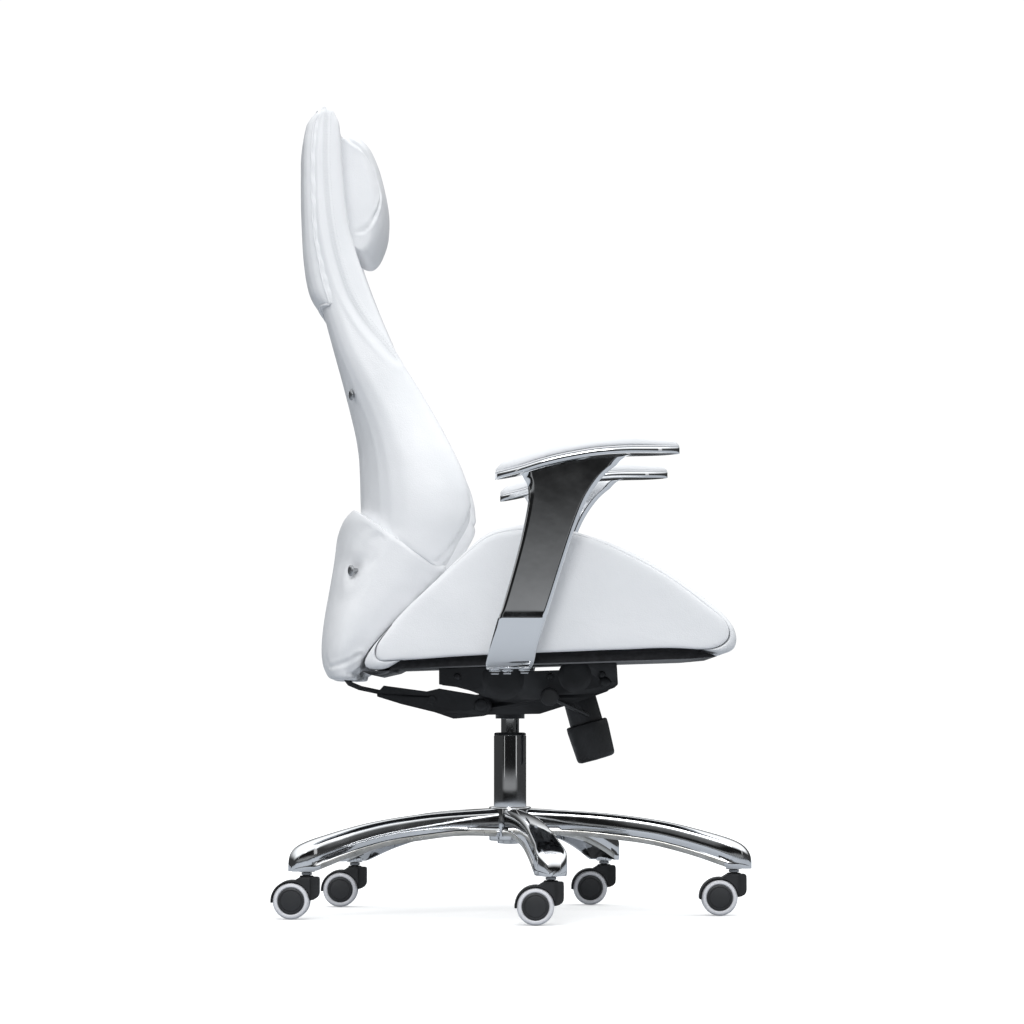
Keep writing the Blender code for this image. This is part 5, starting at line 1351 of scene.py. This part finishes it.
def make_tension():
    cup = [(0.0215, 0.006), (0.0255, 0.006), (0.0258, -0.0365), (0.0045, -0.0365), (0.0045, -0.033),
           (0.0215, -0.033), (0.0215, 0.006)]
    lathed("tension_cup_finish", cup, 0.0012, BLACK_STEEL, ("tilt_unit", "black_steel", "tension_cup"),
           on_knob_axis(), 72)
    turns, steps = 5, 40
    coil = []
    for i in range(turns * steps + 1):
        angle = 2 * math.pi * i / steps
        coil.append(on_knob_axis() @ Vector((0.0165 * math.cos(angle), 0.0165 * math.sin(angle),
                                             -0.029 + 0.033 * i / (turns * steps))))
    fit(tube("tension_spring_finish", coil, 0.0022, STEEL, 3), "tilt_unit", "steel", "tension_spring")
    knob = [(0, 0.002), (0.0038, 0.002), (0.0038, -0.0372), (0.0264, -0.0372), (0.0268, -0.0335),
            (0.03, -0.0332), (0.0323, -0.035), (0.0325, -0.043), (0.03, -0.0866), (0.0285, -0.0904),
            (0.024, -0.0922), (0, -0.0929)]
    obj = turned("tension_knob_finish", rounded(knob, 0.0012), BLACK_PLASTIC, sides=192)
    points = vertices_of(obj)
    radius = np.hypot(points[:, 0], points[:, 1])
    turn = np.arctan2(points[:, 1], points[:, 0])
    on_side = (radius > 0.028) & (points[:, 2] < -0.045) & (points[:, 2] > -0.085)
    flute = np.where(on_side, 0.0009 * np.maximum(0, np.cos(24 * turn)) ** 4, 0.0)
    points[:, :2] *= (1 - flute / np.maximum(radius, 1e-6))[:, None]
    set_vertices(obj, points)
    obj.data.transform(on_knob_axis())
    fit(obj, "tension_knob_body", "black_plastic", "tension_knob")


def make_levers():
    x, y, z = TILT_LEVER_PIVOT
    grip_y, grip_z = TILT_GRIP
    route = [(x + 0.0055, y, z), (x - 0.004, y, z), (x - 0.012, y + 0.006, z + 0.003),
             (-0.1, grip_y - 0.012, grip_z - 0.006), (-0.108, grip_y - 0.002, grip_z - 0.001),
             (-0.116, grip_y, grip_z), (-0.13, grip_y, grip_z)]
    fit(tube("tilt_lever_rod", through(route, 6), 0.0032, BLACK_STEEL, 4), "tilt_lock_lever", "black_plastic",
        "tilt_lever")
    grip = [(0, 0.062), (0.01, 0.0618), (0.0138, 0.0598), (0.014, 0.056), (0.0118, 0.052),
            (0.0104, 0.03), (0.01, 0.01), (0.008, 0.0), (0, 0.0)]
    lathed("tilt_lever_grip", grip, 0.0014, BLACK_PLASTIC, ("tilt_lock_lever", "black_plastic"),
           along_x(-0.118, grip_y, grip_z, -1), 64)
    z = HEIGHT_LEVER_Z
    route = [(-0.012, 0, z), (0.04, 0, z), (0.1, 0, z), (0.135, -0.006, z - 0.008), (0.158, -0.008, z - 0.011)]
    fit(tube("height_lever_rod", through(route, 8), 0.004, STEEL, 4), "height_release_lever", "steel",
        "height_lever")
    outline = [(0.149, 0.0085), (0.152, 0.011), (0.158, 0.0138), (0.18, 0.015), (0.205, 0.015),
               (0.212, 0.0135), (0.216, 0.01), (0.2175, 0.006)]

    def squared(value):
        return abs(value) ** 0.7 * math.copysign(1, value)

    rows = []
    for x, half in through(outline, 4):
        thick = 0.0055 * min(1.0, 0.55 + (0.2185 - x) / 0.012) * min(1.0, 0.6 + (x - 0.149) / 0.012)
        rows.append([(x, -0.008 + half * squared(math.cos(a)), z - 0.011 + thick * squared(math.sin(a)))
                     for a in np.radians(np.arange(5, 365, 10))])
    fit(grid_piece("height_lever_paddle", rows, BLACK_PLASTIC), "height_release_lever", "black_plastic")


def make_mechanism():
    for node, edge in (("mechanism_housing", 0.0008), ("seat_plate", 0.0009), ("back_bracket", 0.0009),
                       ("back_bar", 0.0008)):
        refined(node, BLACK_STEEL, "black_steel", edge)
    for pivot, node, half, cap_r in ((REAR_PIVOT, "rear_pivot_pin", BRACKET_OUTER_X + 0.001, 0.0105),
                                     (FRONT_PIVOT, "front_pivot_pin", PLATE_OUTER_X + 0.001, 0.008)):
        profile = [(0, -half - 0.0034), (cap_r * 0.5, -half - 0.0032), (cap_r - 0.0015, -half - 0.0024),
                   (cap_r, -half - 0.0008), (cap_r, -half + 0.001), (0.0055, -half + 0.001)]
        profile += [(r, -h) for r, h in reversed(profile)]
        lathed(node + "_finish", profile, 0.0006, BLACK_STEEL, ("tilt_unit", "steel", node),
               along_x(0, *pivot, 1), 48)
    for side, word in SIDES:
        for label, y, z, radius, rise in (("rear", 0.01, 0.361, 0.033, 0.0034),
                                          ("front", -0.1, 0.366, 0.026, 0.003)):
            profile = [(0, rise), (radius * 0.45, rise * 0.98), (radius * 0.72, rise * 0.8),
                       (radius * 0.88, rise * 0.42), (radius, -0.0003), (radius, -0.0012), (0, -0.0012)]
            bowl = turned(f"seat_plate_{label}_pressing_{word}", rounded(profile, 0.002), BLACK_STEEL,
                          along_x(side * PLATE_OUTER_X, y, z, side), 64, 60)
            fit(bowl, "seat", "black_steel")
        for i, (y, z) in enumerate(((-0.142, 0.368), (-0.062, 0.365), (0.08, 0.365))):
            lathed(f"seat_plate_rivet_{word}_{i + 1}",
                   [(0, 0.003), (0.004, 0.0028), (0.0052, 0.0012), (0.0054, -0.0004), (0, -0.0004)], 0.0004,
                   BLACK_STEEL, ("seat", "black_steel"), along_x(side * PLATE_OUTER_X, y, z, side), 32)


def make_fasteners():
    head = [(0, -0.006), (0.0058, -0.006), (0.0068, -0.005), (0.0068, -0.0014), (0, -0.0014)]
    washer = [(0, -0.0014), (0.0088, -0.0014), (0.009, -0.0002), (0, -0.0002)]
    for side, word in SIDES:
        for i, (x, y) in enumerate(((0.249, 0.02), (0.225, 0.002), (0.249, -0.024))):
            name = f"arm_bolt_{word}_{i + 1}"
            place = Matrix.Translation((side * x, y, 0.3731 - SEAT_SLOPE * y))
            fit(turned(name + "_head", rounded(head, 0.0003), CHROME, place, 6, 20), "seat", "steel", name)
            lathed(name + "_washer", washer, 0.0003, CHROME, ("seat", "steel"), place, 48)
    for level in ("upper", "lower"):
        for side, word in SIDES:
            make_back_screw(f"back_screw_{level}_{word}", side)


def make_back_screw(node, side):
    """A cap screw with a hexagon socket, lined up with the node's own axis."""
    solid = NODES[node]
    spread = sum(p.area * np.outer(p.normal, p.normal) for p in solid.data.polygons)
    axis = Vector(np.linalg.eigh(spread)[1][:, -1])
    if axis.dot(Vector((side, 1, 0))) < 0:
        axis.negate()
    points = vertices_of(solid)
    reach = points @ np.array(axis)
    top = Vector(points[reach > reach.max() - 0.0002].mean(axis=0))
    place = Matrix.Translation(top) @ axis.to_track_quat("Z", "Y").to_matrix().to_4x4()
    head = rounded([(0, 0.0002), (0.0055, 0.0), (0.0085, -0.0014), (0.0085, -0.0036), (0.004, -0.0036),
                    (0.004, -0.015), (0, -0.015)], 0.0005)
    screw = turned(node + "_finish", head, STEEL, place, 64)
    socket = [(0, 0.001), (0.0044, 0.001), (0.0044, -0.003), (0, -0.003)]
    apply_booleans(screw, "DIFFERENCE", [turned("socket", socket, CHROME, place, 6)])
    fit(resharpen(screw, 30), "back", "chrome", node)


# ---------------------------------------------------------------- assembly

bpy.context.scene.view_settings.view_transform = "Standard"
make_camera()
make_world()
make_lights()
make_floor()
make_seat()
make_upper_back()
make_lower_back()
make_head_panel()
make_pillow()
for side, word in SIDES:
    make_arm_plate(side, word)
    make_arm_frame(side, word)
    make_arm_pad(side, word)
make_star_base()
make_castors()
make_lift()
make_tension()
make_levers()
make_mechanism()
make_fasteners()
refined("seat_board", CLOTH, "black_fabric", 0.0015)
for slot in NODES["back_board"].material_slots:
    slot.material = PLYWOOD
